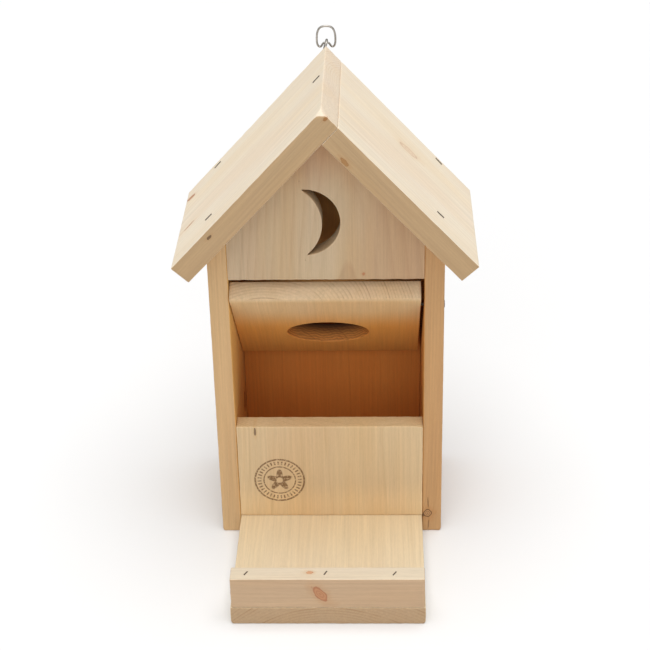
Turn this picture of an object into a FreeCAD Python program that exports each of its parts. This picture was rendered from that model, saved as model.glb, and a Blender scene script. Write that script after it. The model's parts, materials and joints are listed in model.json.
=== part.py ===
import FreeCAD, Part
import math
import os
import re
import Sketcher
from FreeCAD import Placement, Rotation, Vector

# Outhouse-shaped birdhouse of planed softwood boards, all sizes in millimetres.
# +X right, +Y to the back, +Z up; the origin is on the ground, in the middle of the house front.

DOCUMENT_NAME = "birdhouse"
SHEET_NAME = "Sizes"
PARTS_FOLDER = "parts"
RIGHT = Vector(1, 0, 0)
BACKWARD = Vector(0, 1, 0)
UP = Vector(0, 0, 1)
QUARTER_TURN = 90.0
TOUCH = 0.001
CUBIC_CM = 1000.0

# name, value, what it is
SIZES = (
    ("board", 19.0, "thickness of the walls, panels, floor, lip and seat"),
    ("roof_board", 22.0, "thickness of the roof boards"),
    ("inside_width", 184.15, "clear width between the side walls, one wide board"),
    ("floor_slack", 0.4, "how much narrower the floor is than the house inside"),
    ("lip_slack", 2.55, "how much narrower the platform lip is than the house inside"),
    ("wall_depth", 139.7, "front to back, one side wall board"),
    ("riser_top", 125.7, "height of the lower front panel's top edge"),
    ("gable_bottom", 288.1, "height of the upper front panel's bottom edge"),
    ("ridge_height", 468.7, "height of the roof's ridge"),
    ("roof_pitch", 47.3, "degrees from level"),
    ("roof_length", 209.8, "ridge to eave, along the slope"),
    ("roof_overhang", 28.0, "roof in front of the walls"),
    ("platform_reach", 147.4, "floor in front of the walls"),
    ("lip_height", 33.3, "upright lip on the floor's front end"),
    ("edge_round", 1.2, "eased edges of the boards"),
    ("moon_radius", 33.2, "moon window, outer arc"),
    ("moon_bite_radius", 41.0, "moon window, inner arc"),
    ("moon_centre_left", 18.8, "outer arc's centre, left of the middle"),
    ("moon_bite_left", 43.45, "inner arc's centre, left of the middle"),
    ("moon_bite_down", 1.5, "inner arc's centre, below the outer arc's"),
    ("moon_height", 347.6, "height of the outer arc's centre"),
    ("seat_slack", 3.65, "how much narrower the tilting seat board is than the house inside"),
    ("seat_length", 163.2, "tilting seat board, along its grain"),
    ("seat_left", 1.3, "seat board's middle, left of the house's middle"),
    ("seat_tilt", 43.0, "degrees from upright, as it leans on the back"),
    ("seat_above_pivot", 40.0, "seat board's top edge above its pivot"),
    ("seat_round", 5.0, "rounded front top edge of the seat board"),
    ("pivot_depth", 28.9, "pivot behind the front of the walls"),
    ("pivot_height", 246.9, "pivot above the ground"),
    ("hole_width", 81.0, "oval hole, side to side"),
    ("hole_length", 62.0, "oval hole, along the seat board"),
    ("hole_from_top", 98.6, "oval hole's middle from the seat board's top edge"),
    ("pivot_nail_thick", 3.2, "pivot nail's shank diameter"),
    ("pivot_nail_reach", 25.0, "pivot nail's shank past the wall's inner face"),
    ("pivot_head_wide", 7.0, "pivot nail's head diameter"),
    ("pivot_head_thick", 1.4, "pivot nail's head"),
    ("pivot_clearance", 0.1, "radial clearance of the nail in the seat board"),
    ("pivot_bore_depth", 26.0, "blind hole in each side edge of the seat board"),
    ("staple_wire", 1.2, "square wire of the staples"),
    ("staple_crown", 9.0, "width of a roof or wall staple's crown"),
    ("lip_crown", 6.0, "width of a lip staple's crown"),
    ("short_leg", 32.0, "length of a roof or wall staple's legs"),
    ("long_leg", 45.0, "length of a lip staple's legs"),
    ("staple_proud", 0.25, "crown above the wood"),
    ("eye_wire", 2.4, "screw eye's wire diameter"),
    ("eye_radius", 5.8, "screw eye, to the wire's middle"),
    ("eye_below_ridge", 4.4, "screw eye's middle below the ridge"),
    ("eye_left", 0.9, "screw eye's middle, left of the ridge"),
    ("eye_turn", 15.0, "degrees that the eye leans to the right"),
    ("eye_behind", 10.2, "screw eye's middle behind the back of the roof"),
    ("eye_screw_depth", 17.0, "screw eye's shank inside the roof board"),
    ("ring_wire", 2.0, "hanging ring's wire diameter"),
    ("ring_seat_half", 1.8, "half of the flat in the ring's foot that bears on the eye"),
    ("ring_foot_half", 5.2, "half the distance between the ring's lowest corners"),
    ("ring_foot_drop", 4.6, "lowest corners below the flat"),
    ("ring_side_half", 9.0, "half the ring's width, to the wire's middle"),
    ("ring_side_drop", 1.6, "lower end of the ring's sides below the flat"),
    ("ring_shoulder", 10.5, "upper end of the ring's sides above the flat"),
    ("ring_top_half", 4.6, "half the ring's top, to the wire's middle"),
    ("ring_rise", 17.8, "ring's top above the flat, to the wire's middle"),
    ("ring_bend", 2.0, "bends in the ring's foot"),
    ("ring_round", 3.5, "bends at the ring's shoulders and top"),
    ("ring_slack", 0.15, "gap between the ring and the eye it stands in"),
)

# name, formula, what it is
DERIVED = (
    ("inside_half", "inside_width / 2", "middle to a side wall's inner face"),
    ("outside_half", "inside_width / 2 + board", "middle to a side wall's outer face"),
    ("roof_drop", "roof_board / cos(roof_pitch)", "roof board measured straight down"),
    ("under_ridge", "ridge_height - roof_drop", "underside of the roof at the middle"),
    ("wall_top_in", "under_ridge - inside_half * tan(roof_pitch)", "side wall's inner top edge"),
    ("wall_top_out", "under_ridge - outside_half * tan(roof_pitch)", "side wall's outer top edge"),
    ("eave_reach", "roof_length * cos(roof_pitch)", "middle to the eave's top edge"),
    ("eave_height", "ridge_height - roof_length * sin(roof_pitch)", "eave's top edge"),
    ("eave_in", "roof_board * sin(roof_pitch)", "eave's lower edge, inwards of its top edge"),
    ("eave_down", "roof_board * cos(roof_pitch)", "eave's lower edge, below its top edge"),
    ("lap_reach", "roof_drop / (2 * tan(roof_pitch))", "left roof board's end, past the middle"),
    ("lap_height", "ridge_height - roof_drop / 2", "left roof board's end, above the ground"),
    ("back_inside", "wall_depth - board", "back panel's inner face"),
    ("lip_front", "-platform_reach", "front face of the platform"),
    ("floor_width", "inside_width - floor_slack", "width of the floor"),
    ("lip_width", "inside_width - lip_slack", "width of the platform lip"),
    ("seat_width", "inside_width - seat_slack", "tilting seat board, side to side"),
    ("pivot_nail_length", "board + pivot_nail_reach", "pivot nail's shank"),
    ("eye_height", "ridge_height - eye_below_ridge", "screw eye's middle above the ground"),
    ("panel_middle", "board / 2", "middle of a front panel or of the floor board"),
    ("back_middle", "wall_depth - board / 2", "middle of the back panel"),
    ("wall_along", "(outside_half - 2) / cos(roof_pitch)", "down the roof slope to a side wall"),
    ("lip_middle", "board / 2 - platform_reach", "middle of the platform lip"),
)
NAMES = frozenset(row[0] for row in SIZES + DERIVED)
WORD = re.compile("[a-z_]+")

# Staples as (along, across, turn in degrees) on the face they are driven into. On a roof slope
# "along" runs down from the ridge; "across" runs back on the right slope, forward on the left.
# On a side wall "along" runs back, and forward on the left, and "across" runs up.
RIDGE_STAPLES = (("roof_board / 2", "-wall_depth / 2", 4.0),)
LEFT_ROOF_STAPLES = (
    ("wall_along - 3", "-3.4", -6.0),
    ("wall_along", "2 - back_middle", 5.0),
)
RIGHT_ROOF_STAPLES = (
    ("wall_along - 4", "3.4", 3.0),
    ("wall_along", "back_middle + 2", -5.0),
)
LIP_STAPLES = (
    ("-0.42 * lip_width", "lip_middle", 62.0),
    ("-0.01 * lip_width", "lip_middle + 0.5", 66.0),
    ("0.345 * lip_width", "lip_middle - 0.3", 60.0),
)
RIGHT_WALL_STAPLES = (
    ("panel_middle", "board + 22", 88.0),
    ("panel_middle", "riser_top - 20", 95.0),
    ("panel_middle", "gable_bottom + 7", 84.0),
    ("panel_middle", "wall_top_out - 9", 93.0),
    ("back_middle", "0.12 * wall_top_out", 90.0),
    ("back_middle", "0.4 * wall_top_out", 86.0),
    ("back_middle", "0.68 * wall_top_out", 97.0),
    ("back_middle", "0.96 * wall_top_out", 91.0),
    ("0.37 * wall_depth", "panel_middle", 3.0),
    ("0.66 * wall_depth", "panel_middle", -4.0),
)
LEFT_WALL_STAPLES = tuple(
    ("-(" + along + ")", up, -turn) for along, up, turn in RIGHT_WALL_STAPLES
)


def linked(formula):
    """A formula of size names, written with links to the spreadsheet."""
    return WORD.sub(
        lambda found: SHEET_NAME + "." + found.group() if found.group() in NAMES else found.group(),
        formula,
    )


def new_sheet(doc):
    """Writes every size and every derived formula into the driving spreadsheet."""
    sheet = doc.addObject("Spreadsheet::Sheet", SHEET_NAME)
    rows = [(name, str(value), note) for name, value, note in SIZES]
    rows += [(name, "=" + formula, note) for name, formula, note in DERIVED]
    for row, (name, content, note) in enumerate(rows, start=1):
        sheet.set("A%d" % row, name)
        sheet.set("B%d" % row, content)
        sheet.set("C%d" % row, note)
        sheet.setAlias("B%d" % row, name)
    doc.recompute()
    return sheet


def value_of(sheet, formula):
    """The present value of a formula written with size names."""
    return float(sheet.evalExpression(formula))


def origin_plane(body, role):
    """The body's own origin plane with this role."""
    return next(item for item in body.Origin.OriginFeatures if item.Role == role)


def new_body(doc, label, depth="0"):
    """An empty body with the sub-part's label, standing at a depth behind the house front."""
    body = doc.addObject("PartDesign::Body", label)
    body.Label = label
    body.Placement = Placement(Vector(0, 0, 0), Rotation())
    body.setExpression("Placement.Base.y", linked(depth))
    return body


def new_sketch(body, role, name, offset="0"):
    """A sketch on one of the body's origin planes, moved along the plane's normal."""
    sketch = body.newObject("Sketcher::SketchObject", body.Name + "_" + name)
    sketch.AttachmentSupport = [(origin_plane(body, role), "")]
    sketch.MapMode = "FlatFace"
    sketch.setExpression("AttachmentOffset.Base.z", linked(offset))
    return sketch


def drive(sketch, formula, sheet, kind, *where):
    """Adds a dimension to the sketch and binds it to a formula."""
    index = sketch.addConstraint(Sketcher.Constraint(kind, *where, value_of(sheet, formula)))
    sketch.setExpression("Constraints[%d]" % index, linked(formula))


def pin_point(sketch, sheet, geometry, corner, place):
    """Holds one point of the sketch at a place given by two formulas."""
    for kind, formula in zip(("DistanceX", "DistanceY"), place):
        drive(sketch, formula, sheet, kind, -1, 1, geometry, corner)


def add_polygon(sketch, sheet, places):
    """Closed outline through places, each given by two formulas."""
    points = [Vector(value_of(sheet, across), value_of(sheet, up), 0) for across, up in places]
    count = len(points)
    for index in range(count):
        sketch.addGeometry(Part.LineSegment(points[index], points[(index + 1) % count]), False)
    for index in range(count):
        sketch.addConstraint(Sketcher.Constraint("Coincident", index, 2, (index + 1) % count, 1))
    for index, place in enumerate(places):
        pin_point(sketch, sheet, index, 1, place)


def add_circle(sketch, sheet, radius, place=("0", "0")):
    """A circle with a formula for its radius."""
    centre = Vector(value_of(sheet, place[0]), value_of(sheet, place[1]), 0)
    circle = Part.Circle(centre, Vector(0, 0, 1), value_of(sheet, radius))
    index = sketch.addGeometry(circle, False)
    pin_point(sketch, sheet, index, 3, place)
    drive(sketch, radius, sheet, "Radius", index)


def add_ellipse(sketch, sheet, wide, high, place):
    """An ellipse lying along the sketch's first axis, with formulas for its two diameters."""
    centre = Vector(value_of(sheet, place[0]), value_of(sheet, place[1]), 0)
    side = centre + Vector(value_of(sheet, wide) / 2, 0, 0)
    top = centre + Vector(0, value_of(sheet, high) / 2, 0)
    index = sketch.addGeometry(Part.Ellipse(side, top, centre), False)
    sketch.exposeInternalGeometry(index)
    long_axis, short_axis = index + 1, index + 2
    pin_point(sketch, sheet, index, 3, place)
    sketch.addConstraint(Sketcher.Constraint("Horizontal", long_axis))
    drive(sketch, wide, sheet, "Distance", long_axis)
    drive(sketch, high, sheet, "Distance", short_axis)


def pad(body, sketch, length, reverse=False):
    """Pads a sketch along its normal, or against it."""
    feature = body.newObject("PartDesign::Pad", sketch.Name + "_pad")
    feature.Profile = sketch
    feature.setExpression("Length", linked(length))
    feature.Reversed = reverse
    sketch.Visibility = False
    return feature


def pocket(body, sketch, depth, reverse=False):
    """Cuts a sketch out of the body, against its normal or along it."""
    feature = body.newObject("PartDesign::Pocket", sketch.Name + "_pocket")
    feature.Profile = sketch
    feature.setExpression("Length", linked(depth))
    feature.Reversed = reverse
    sketch.Visibility = False
    return feature


def ease_edges(doc, body, chosen, radius):
    """Rounds the body's edges that a test picks."""
    doc.recompute()
    base = body.Tip
    names = []
    for index, edge in enumerate(base.Shape.Edges, start=1):
        if chosen(edge):
            names.append("Edge%d" % index)
    feature = body.newObject("PartDesign::Fillet", body.Name + "_edges")
    feature.Base = (base, names)
    feature.setExpression("Radius", linked(radius))
    return feature


def edge_middle(edge):
    """The middle of an edge's bounding box."""
    return edge.BoundBox.Center


def runs_along(edge, axis):
    """Whether an edge is straight and parallel to an axis vector."""
    ends = edge.Vertexes
    if len(ends) != 2 or edge.Curve.TypeId != "Part::GeomLine":
        return False
    return (ends[1].Point - ends[0].Point).cross(axis).Length < TOUCH * edge.Length


def upright_board(doc, sheet, label, outline, depth, thickness):
    """A board whose outline is seen from the front, standing at a depth."""
    body = new_body(doc, label, depth)
    sketch = new_sketch(body, "XZ_Plane", "outline")
    add_polygon(sketch, sheet, outline)
    pad(body, sketch, thickness, reverse=True)
    return body


def mirrored(outline):
    """The same outline on the other side of the middle."""
    return tuple(("-(" + across + ")", up) for across, up in outline)


def build_side_walls(doc, sheet):
    """Two upright side walls with their tops cut to the roof's slope."""
    outline = (
        ("inside_half", "0"),
        ("outside_half", "0"),
        ("outside_half", "wall_top_out"),
        ("inside_half", "wall_top_in"),
    )
    walls = (
        upright_board(doc, sheet, "right_side_wall", outline, "0", "wall_depth"),
        upright_board(doc, sheet, "left_side_wall", mirrored(outline), "0", "wall_depth"),
    )
    for wall in walls:
        ease_edges(doc, wall, lambda edge: runs_along(edge, UP), "edge_round")
    return walls


def house_outline(bottom):
    """The five-cornered outline of a panel that fills the house below the roof."""
    return (
        ("-inside_half", bottom),
        ("inside_half", bottom),
        ("inside_half", "wall_top_in"),
        ("0", "under_ridge"),
        ("-inside_half", "wall_top_in"),
    )


def build_back_panel(doc, sheet):
    """Back panel, between the side walls and down to the ground."""
    return upright_board(
        doc, sheet, "back_panel", house_outline("0"), "back_inside", "board"
    )


def cut_moon(sheet, body):
    """Cuts the crescent between two arcs through the panel."""
    bite_height = "moon_height - moon_bite_down"
    outer_centre = Vector(-value_of(sheet, "moon_centre_left"), value_of(sheet, "moon_height"), 0)
    inner_centre = Vector(-value_of(sheet, "moon_bite_left"), value_of(sheet, bite_height), 0)
    outer, inner = value_of(sheet, "moon_radius"), value_of(sheet, "moon_bite_radius")
    apart = outer_centre - inner_centre
    lean = math.atan2(apart.y, apart.x)
    tip_across = (apart.Length**2 + inner**2 - outer**2) / (2 * apart.Length)
    tip_up = math.sqrt(inner**2 - tip_across**2)
    outer_angle = math.atan2(tip_up, tip_across - apart.Length)
    inner_angle = math.atan2(tip_up, tip_across)
    sketch = new_sketch(body, "XZ_Plane", "moon")
    arcs = (
        (outer_centre, outer, outer_angle, ("-moon_centre_left", "moon_height"), "moon_radius"),
        (inner_centre, inner, inner_angle, ("-moon_bite_left", bite_height), "moon_bite_radius"),
    )
    for index, (centre, radius, angle, place, formula) in enumerate(arcs):
        circle = Part.Circle(centre, Vector(0, 0, 1), radius)
        sketch.addGeometry(Part.ArcOfCircle(circle, lean - angle, lean + angle), False)
        pin_point(sketch, sheet, index, 3, place)
        drive(sketch, formula, sheet, "Radius", index)
    for corner in (1, 2):
        sketch.addConstraint(Sketcher.Constraint("Coincident", 0, corner, 1, corner))
    return pocket(body, sketch, "board")


def build_front_panels(doc, sheet):
    """Gable panel with its moon window, and the riser panel below the doorway."""
    gable = upright_board(doc, sheet, "gable_panel", house_outline("gable_bottom"), "0", "board")
    cut_moon(sheet, gable)
    riser_outline = (
        ("-inside_half", "board"),
        ("inside_half", "board"),
        ("inside_half", "riser_top"),
        ("-inside_half", "riser_top"),
    )
    riser = upright_board(doc, sheet, "riser_panel", riser_outline, "0", "board")
    ease_edges(doc, riser, lambda edge: runs_along(edge, UP), "edge_round")
    return gable, riser


def build_floor(doc, sheet):
    """Floor board that runs forward as a platform, and the lip standing on its front end."""
    half, lip_half = "floor_width / 2", "lip_width / 2"
    floor_outline = (
        ("-" + half, "0"),
        (half, "0"),
        (half, "board"),
        ("-" + half, "board"),
    )
    lip_outline = (
        ("-" + lip_half, "board"),
        (lip_half, "board"),
        (lip_half, "board + lip_height"),
        ("-" + lip_half, "board + lip_height"),
    )
    floor = upright_board(
        doc, sheet, "floor_board", floor_outline, "lip_front", "platform_reach + back_inside"
    )
    ease_edges(doc, floor, lambda edge: runs_along(edge, BACKWARD), "edge_round / 2")
    lip = upright_board(doc, sheet, "platform_lip", lip_outline, "lip_front", "board")
    ease_edges(doc, lip, lambda edge: runs_along(edge, RIGHT), "edge_round")
    return floor, lip


def build_roof(doc, sheet):
    """Left roof board running over the ridge, and the right one butted under it."""
    left_outline = (
        ("0", "ridge_height"),
        ("-eave_reach", "eave_height"),
        ("-eave_reach + eave_in", "eave_height - eave_down"),
        ("lap_reach", "lap_height"),
    )
    right_outline = (
        ("lap_reach", "lap_height"),
        ("0", "under_ridge"),
        ("eave_reach - eave_in", "eave_height - eave_down"),
        ("eave_reach", "eave_height"),
    )
    reach = "roof_overhang + wall_depth"
    left = upright_board(doc, sheet, "left_roof_board", left_outline, "-roof_overhang", reach)
    right = upright_board(doc, sheet, "right_roof_board", right_outline, "-roof_overhang", reach)
    joint = value_of(sheet, "lap_reach") / 2
    ease_edges(doc, left, lambda edge: edge_middle(edge).x < joint - TOUCH, "edge_round")
    ease_edges(doc, right, lambda edge: edge_middle(edge).x > 2 * joint + TOUCH, "edge_round")
    return left, right


def build_seat(doc, sheet):
    """Tilting seat board with an oval hole and a blind pivot bore in each side edge."""
    body = new_body(doc, "seat_board", "pivot_depth")
    body.setExpression("Placement.Base.x", linked("-seat_left"))
    body.setExpression("Placement.Base.z", linked("pivot_height"))
    body.Placement = Placement(body.Placement.Base, Rotation(RIGHT, 1.0))
    body.setExpression("Placement.Rotation.Angle", linked("seat_tilt") + " * 1 deg")
    half, top, foot = "seat_width / 2", "seat_above_pivot", "seat_above_pivot - seat_length"
    outline = (("-" + half, foot), (half, foot), (half, top), ("-" + half, top))
    sketch = new_sketch(body, "XZ_Plane", "outline", "board / 2")
    add_polygon(sketch, sheet, outline)
    pad(body, sketch, "board", reverse=True)
    oval = new_sketch(body, "XZ_Plane", "oval", "board / 2")
    add_ellipse(
        oval, sheet, "hole_width", "hole_length", ("0", "seat_above_pivot - hole_from_top")
    )
    pocket(body, oval, "board")
    for name, offset, reverse in (("right", half, False), ("left", "-" + half, True)):
        bore = new_sketch(body, "YZ_Plane", name + "_bore", offset)
        add_circle(bore, sheet, "pivot_nail_thick / 2 + pivot_clearance")
        pocket(body, bore, "pivot_bore_depth", reverse)
    top_height = value_of(sheet, top)
    ease_edges(
        doc,
        body,
        lambda edge: runs_along(edge, RIGHT)
        and edge_middle(edge).y < 0
        and abs(edge_middle(edge).z - top_height) < TOUCH,
        "seat_round",
    )
    return (body,)


def build_pivot_nails(doc, sheet):
    """A headed nail through each side wall into the seat board's bore."""
    nails = []
    for label, side, reverse in (("right_pivot_nail", "", False), ("left_pivot_nail", "-", True)):
        body = new_body(doc, label, "pivot_depth")
        body.setExpression("Placement.Base.z", linked("pivot_height"))
        shank = new_sketch(body, "YZ_Plane", "shank", side + "outside_half")
        add_circle(shank, sheet, "pivot_nail_thick / 2")
        pad(body, shank, "pivot_nail_length", reverse=not reverse)
        head = new_sketch(body, "YZ_Plane", "head", side + "outside_half")
        add_circle(head, sheet, "pivot_head_wide / 2")
        pad(body, head, "pivot_head_thick", reverse=reverse)
        nails.append(body)
    return tuple(nails)


def build_screw_eye(doc, sheet):
    """Screw eye in the back end of the ridge, its eye standing upright."""
    loop = doc.addObject("Part::Torus", "eye_loop")
    loop.setExpression("Radius1", linked("eye_radius"))
    loop.setExpression("Radius2", linked("eye_wire / 2"))
    loop.Placement = Placement(Vector(0, 0, 0), Rotation(BACKWARD, QUARTER_TURN))
    loop.setExpression("Placement.Rotation.Angle", linked("eye_turn") + " * 1 deg + 90 deg")
    loop.setExpression("Placement.Base.x", linked("-eye_left"))
    loop.setExpression("Placement.Base.y", linked("wall_depth + eye_behind"))
    loop.setExpression("Placement.Base.z", linked("eye_height"))
    shank = doc.addObject("Part::Cylinder", "eye_shank")
    shank.setExpression("Radius", linked("eye_wire / 2"))
    shank.setExpression("Height", linked("eye_screw_depth + eye_behind - eye_radius"))
    shank.Placement = Placement(Vector(0, 0, 0), Rotation(RIGHT, -QUARTER_TURN))
    shank.setExpression("Placement.Base.x", linked("-eye_left"))
    shank.setExpression("Placement.Base.y", linked("wall_depth - eye_screw_depth"))
    shank.setExpression("Placement.Base.z", linked("eye_height"))
    eye = doc.addObject("Part::MultiFuse", "screw_eye")
    eye.Label = "screw_eye"
    eye.Shapes = [loop, shank]
    return (eye,)


def build_ring(doc, sheet):
    """Bent wire ring drawn up in the screw eye, its foot dipping on both sides of the eye."""
    body = new_body(doc, "hanging_ring", "wall_depth + eye_behind")
    flat_height = (
        "eye_height + eye_radius * cos(eye_turn) - eye_wire / 2 - ring_wire / 2 - ring_slack"
    )
    body.setExpression("Placement.Base.z", linked(flat_height))
    path = new_sketch(body, "XZ_Plane", "path")
    right_side = (
        ("ring_seat_half", "0"),
        ("ring_foot_half", "-ring_foot_drop"),
        ("ring_side_half", "-ring_side_drop"),
        ("ring_side_half", "ring_shoulder"),
        ("ring_top_half", "ring_rise"),
    )
    left_side = tuple(("-" + across, up) for across, up in reversed(right_side))
    add_polygon(path, sheet, (("0", "0"),) + right_side + left_side)
    rounds = ("ring_bend",) * 3 + ("ring_round",) * 4 + ("ring_bend",) * 3
    for line, radius in enumerate(rounds):
        arc = path.GeometryCount
        path.fillet(line, 2, value_of(sheet, radius), True, True)
        drive(path, radius, sheet, "Radius", arc)
    wire = new_sketch(body, "YZ_Plane", "wire")
    add_circle(wire, sheet, "ring_wire / 2")
    doc.recompute()
    pipe = body.newObject("PartDesign::AdditivePipe", "ring_pipe")
    pipe.Profile = wire
    pipe.Spine = path
    return (body,)


def bar(doc, name, size, base):
    """A box with a formula for each size and each coordinate of its corner."""
    box = doc.addObject("Part::Box", name)
    for side, formula in zip(("Length", "Width", "Height"), size):
        box.setExpression(side, linked(formula))
    for axis, formula in zip("xyz", base):
        box.setExpression("Placement.Base." + axis, linked(formula))
    return box


def new_staple(doc, name, crown_width, leg, placement):
    """One staple: crown along its own X, legs down, crown standing proud of its own Z = 0."""
    near, side = "-(%s) / 2" % crown_width, "-staple_wire / 2"
    crown_size = (crown_width, "staple_wire", "staple_wire")
    crown = bar(doc, name + "_crown", crown_size, (near, side, "staple_proud - staple_wire"))
    leg_size = ("staple_wire", "staple_wire", leg)
    leg_foot = "staple_proud - " + leg
    far = crown_width + " / 2 - staple_wire"
    legs = [
        bar(doc, name + "_leg_1", leg_size, (near, side, leg_foot)),
        bar(doc, name + "_leg_2", leg_size, (far, side, leg_foot)),
    ]
    staple = doc.addObject("Part::MultiFuse", name)
    staple.Shapes = [crown] + legs
    staple.Placement = placement
    return staple


def staple_group(doc, sheet, label, size, face, places):
    """Staples on one face, each at (along, across, turn), as one sub-part of loose solids."""
    staples = []
    for index, (along, across, turn) in enumerate(places, start=1):
        foot = Vector(value_of(sheet, along), value_of(sheet, across), 0)
        local = Placement(foot, Rotation(UP, turn))
        name = "%s_%d" % (label, index)
        staples.append(new_staple(doc, name, *size, face.multiply(local)))
    group = doc.addObject("Part::Compound", label)
    group.Label = label
    group.Links = staples
    return group


def face_frame(origin, first, second):
    """Placement of a face from its origin and its two in-plane directions."""
    return Placement(origin, Rotation(first, second, first.cross(second), "XYZ"))


def build_staples(doc, sheet):
    """Every group of staples, each on the face it is driven into."""
    pitch = math.radians(value_of(sheet, "roof_pitch"))
    ridge = Vector(0, 0, value_of(sheet, "ridge_height"))
    left_down = Vector(-math.cos(pitch), 0, -math.sin(pitch))
    right_down = Vector(math.cos(pitch), 0, -math.sin(pitch))
    outside = value_of(sheet, "outside_half")
    lip_top = Vector(0, 0, value_of(sheet, "board + lip_height"))
    left_roof = face_frame(ridge, left_down, BACKWARD * -1)
    right_roof = face_frame(ridge, right_down, BACKWARD)
    right_wall = face_frame(RIGHT * outside, BACKWARD, UP)
    left_wall = face_frame(RIGHT * -outside, BACKWARD * -1, UP)
    lip = face_frame(lip_top, RIGHT, BACKWARD)
    short, long = ("staple_crown", "short_leg"), ("lip_crown", "long_leg")
    groups = (
        ("ridge_staple", short, left_roof, RIDGE_STAPLES),
        ("left_roof_staples", short, left_roof, LEFT_ROOF_STAPLES),
        ("right_roof_staples", short, right_roof, RIGHT_ROOF_STAPLES),
        ("lip_staples", long, lip, LIP_STAPLES),
        ("right_wall_staples", short, right_wall, RIGHT_WALL_STAPLES),
        ("left_wall_staples", short, left_wall, LEFT_WALL_STAPLES),
    )
    return tuple(staple_group(doc, sheet, *group) for group in groups)


def check(doc):
    """Stops at any feature that failed to rebuild."""
    for item in doc.Objects:
        if "Invalid" in item.State or "Error" in item.State:
            raise RuntimeError("%s did not rebuild: %s" % (item.Name, item.State))


def export(nodes):
    """Writes every sub-part to its own STEP file."""
    os.makedirs(PARTS_FOLDER, exist_ok=True)
    for node in nodes:
        if node.Shape.isNull() or not node.Shape.isValid():
            raise RuntimeError(node.Label + " has no valid shape")
        node.Shape.exportStep(os.path.join(PARTS_FOLDER, node.Label + ".step"))
        print("%-20s %8.1f cm3" % (node.Label, node.Shape.Volume / CUBIC_CM))


def main():
    """Builds the birdhouse and writes its sub-parts."""
    doc = FreeCAD.newDocument(DOCUMENT_NAME)
    sheet = new_sheet(doc)
    nodes = build_side_walls(doc, sheet)
    nodes += (build_back_panel(doc, sheet),)
    nodes += build_front_panels(doc, sheet)
    nodes += build_floor(doc, sheet)
    nodes += build_roof(doc, sheet)
    nodes += build_seat(doc, sheet)
    nodes += build_pivot_nails(doc, sheet)
    nodes += build_screw_eye(doc, sheet)
    nodes += build_ring(doc, sheet)
    nodes += build_staples(doc, sheet)
    doc.recompute()
    check(doc)
    export(nodes)


main()
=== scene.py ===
"""Outhouse-shaped birdhouse of planed softwood: boards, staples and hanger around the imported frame.

Every length is in metres. +X is right, +Y is back and +Z is up, as in the frame.
"""

import json
import logging
import math
from dataclasses import dataclass
from enum import Enum
from typing import Callable, Sequence

import bmesh
import bpy
import numpy as np
from mathutils import Matrix, Vector


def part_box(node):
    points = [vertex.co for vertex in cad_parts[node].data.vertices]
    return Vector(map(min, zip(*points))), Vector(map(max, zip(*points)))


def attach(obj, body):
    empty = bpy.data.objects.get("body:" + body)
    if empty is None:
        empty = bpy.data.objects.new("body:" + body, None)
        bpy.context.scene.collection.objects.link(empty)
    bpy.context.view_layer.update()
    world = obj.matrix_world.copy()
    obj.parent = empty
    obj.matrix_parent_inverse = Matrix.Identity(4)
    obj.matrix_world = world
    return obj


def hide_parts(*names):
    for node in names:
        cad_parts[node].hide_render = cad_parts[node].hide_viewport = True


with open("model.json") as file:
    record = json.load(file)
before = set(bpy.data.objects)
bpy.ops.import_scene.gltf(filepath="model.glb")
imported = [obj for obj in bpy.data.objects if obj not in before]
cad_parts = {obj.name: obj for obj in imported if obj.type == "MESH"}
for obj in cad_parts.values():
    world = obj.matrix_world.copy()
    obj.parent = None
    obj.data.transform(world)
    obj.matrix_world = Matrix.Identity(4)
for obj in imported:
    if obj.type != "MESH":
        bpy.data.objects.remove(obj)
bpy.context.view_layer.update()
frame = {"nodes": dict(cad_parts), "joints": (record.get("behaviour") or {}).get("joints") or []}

MM = 0.001
WEAR_REACH = 1.6 * MM  # edge wear fades by a factor e over this distance
WELD = 0.004 * MM  # points closer than this become one
END_LEAD = 0.5 * MM  # first step of the closer rows inside a board's ends
QUARTER = np.linspace(0.0, math.pi / 2, 5)  # angles of a rounded edge's points
LOG = logging.getLogger("birdhouse")

Triple = tuple[float, float, float]
Colour = tuple[float, float, float]
Socket = bpy.types.NodeSocket
Place = tuple[Socket, Socket, Socket]  # a board's across, through and along coordinates
PLAIN: Colour = (1.0, 1.0, 1.0)


# ---------------------------------------------------------------------------------------------
# Sizes read from the frame


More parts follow.
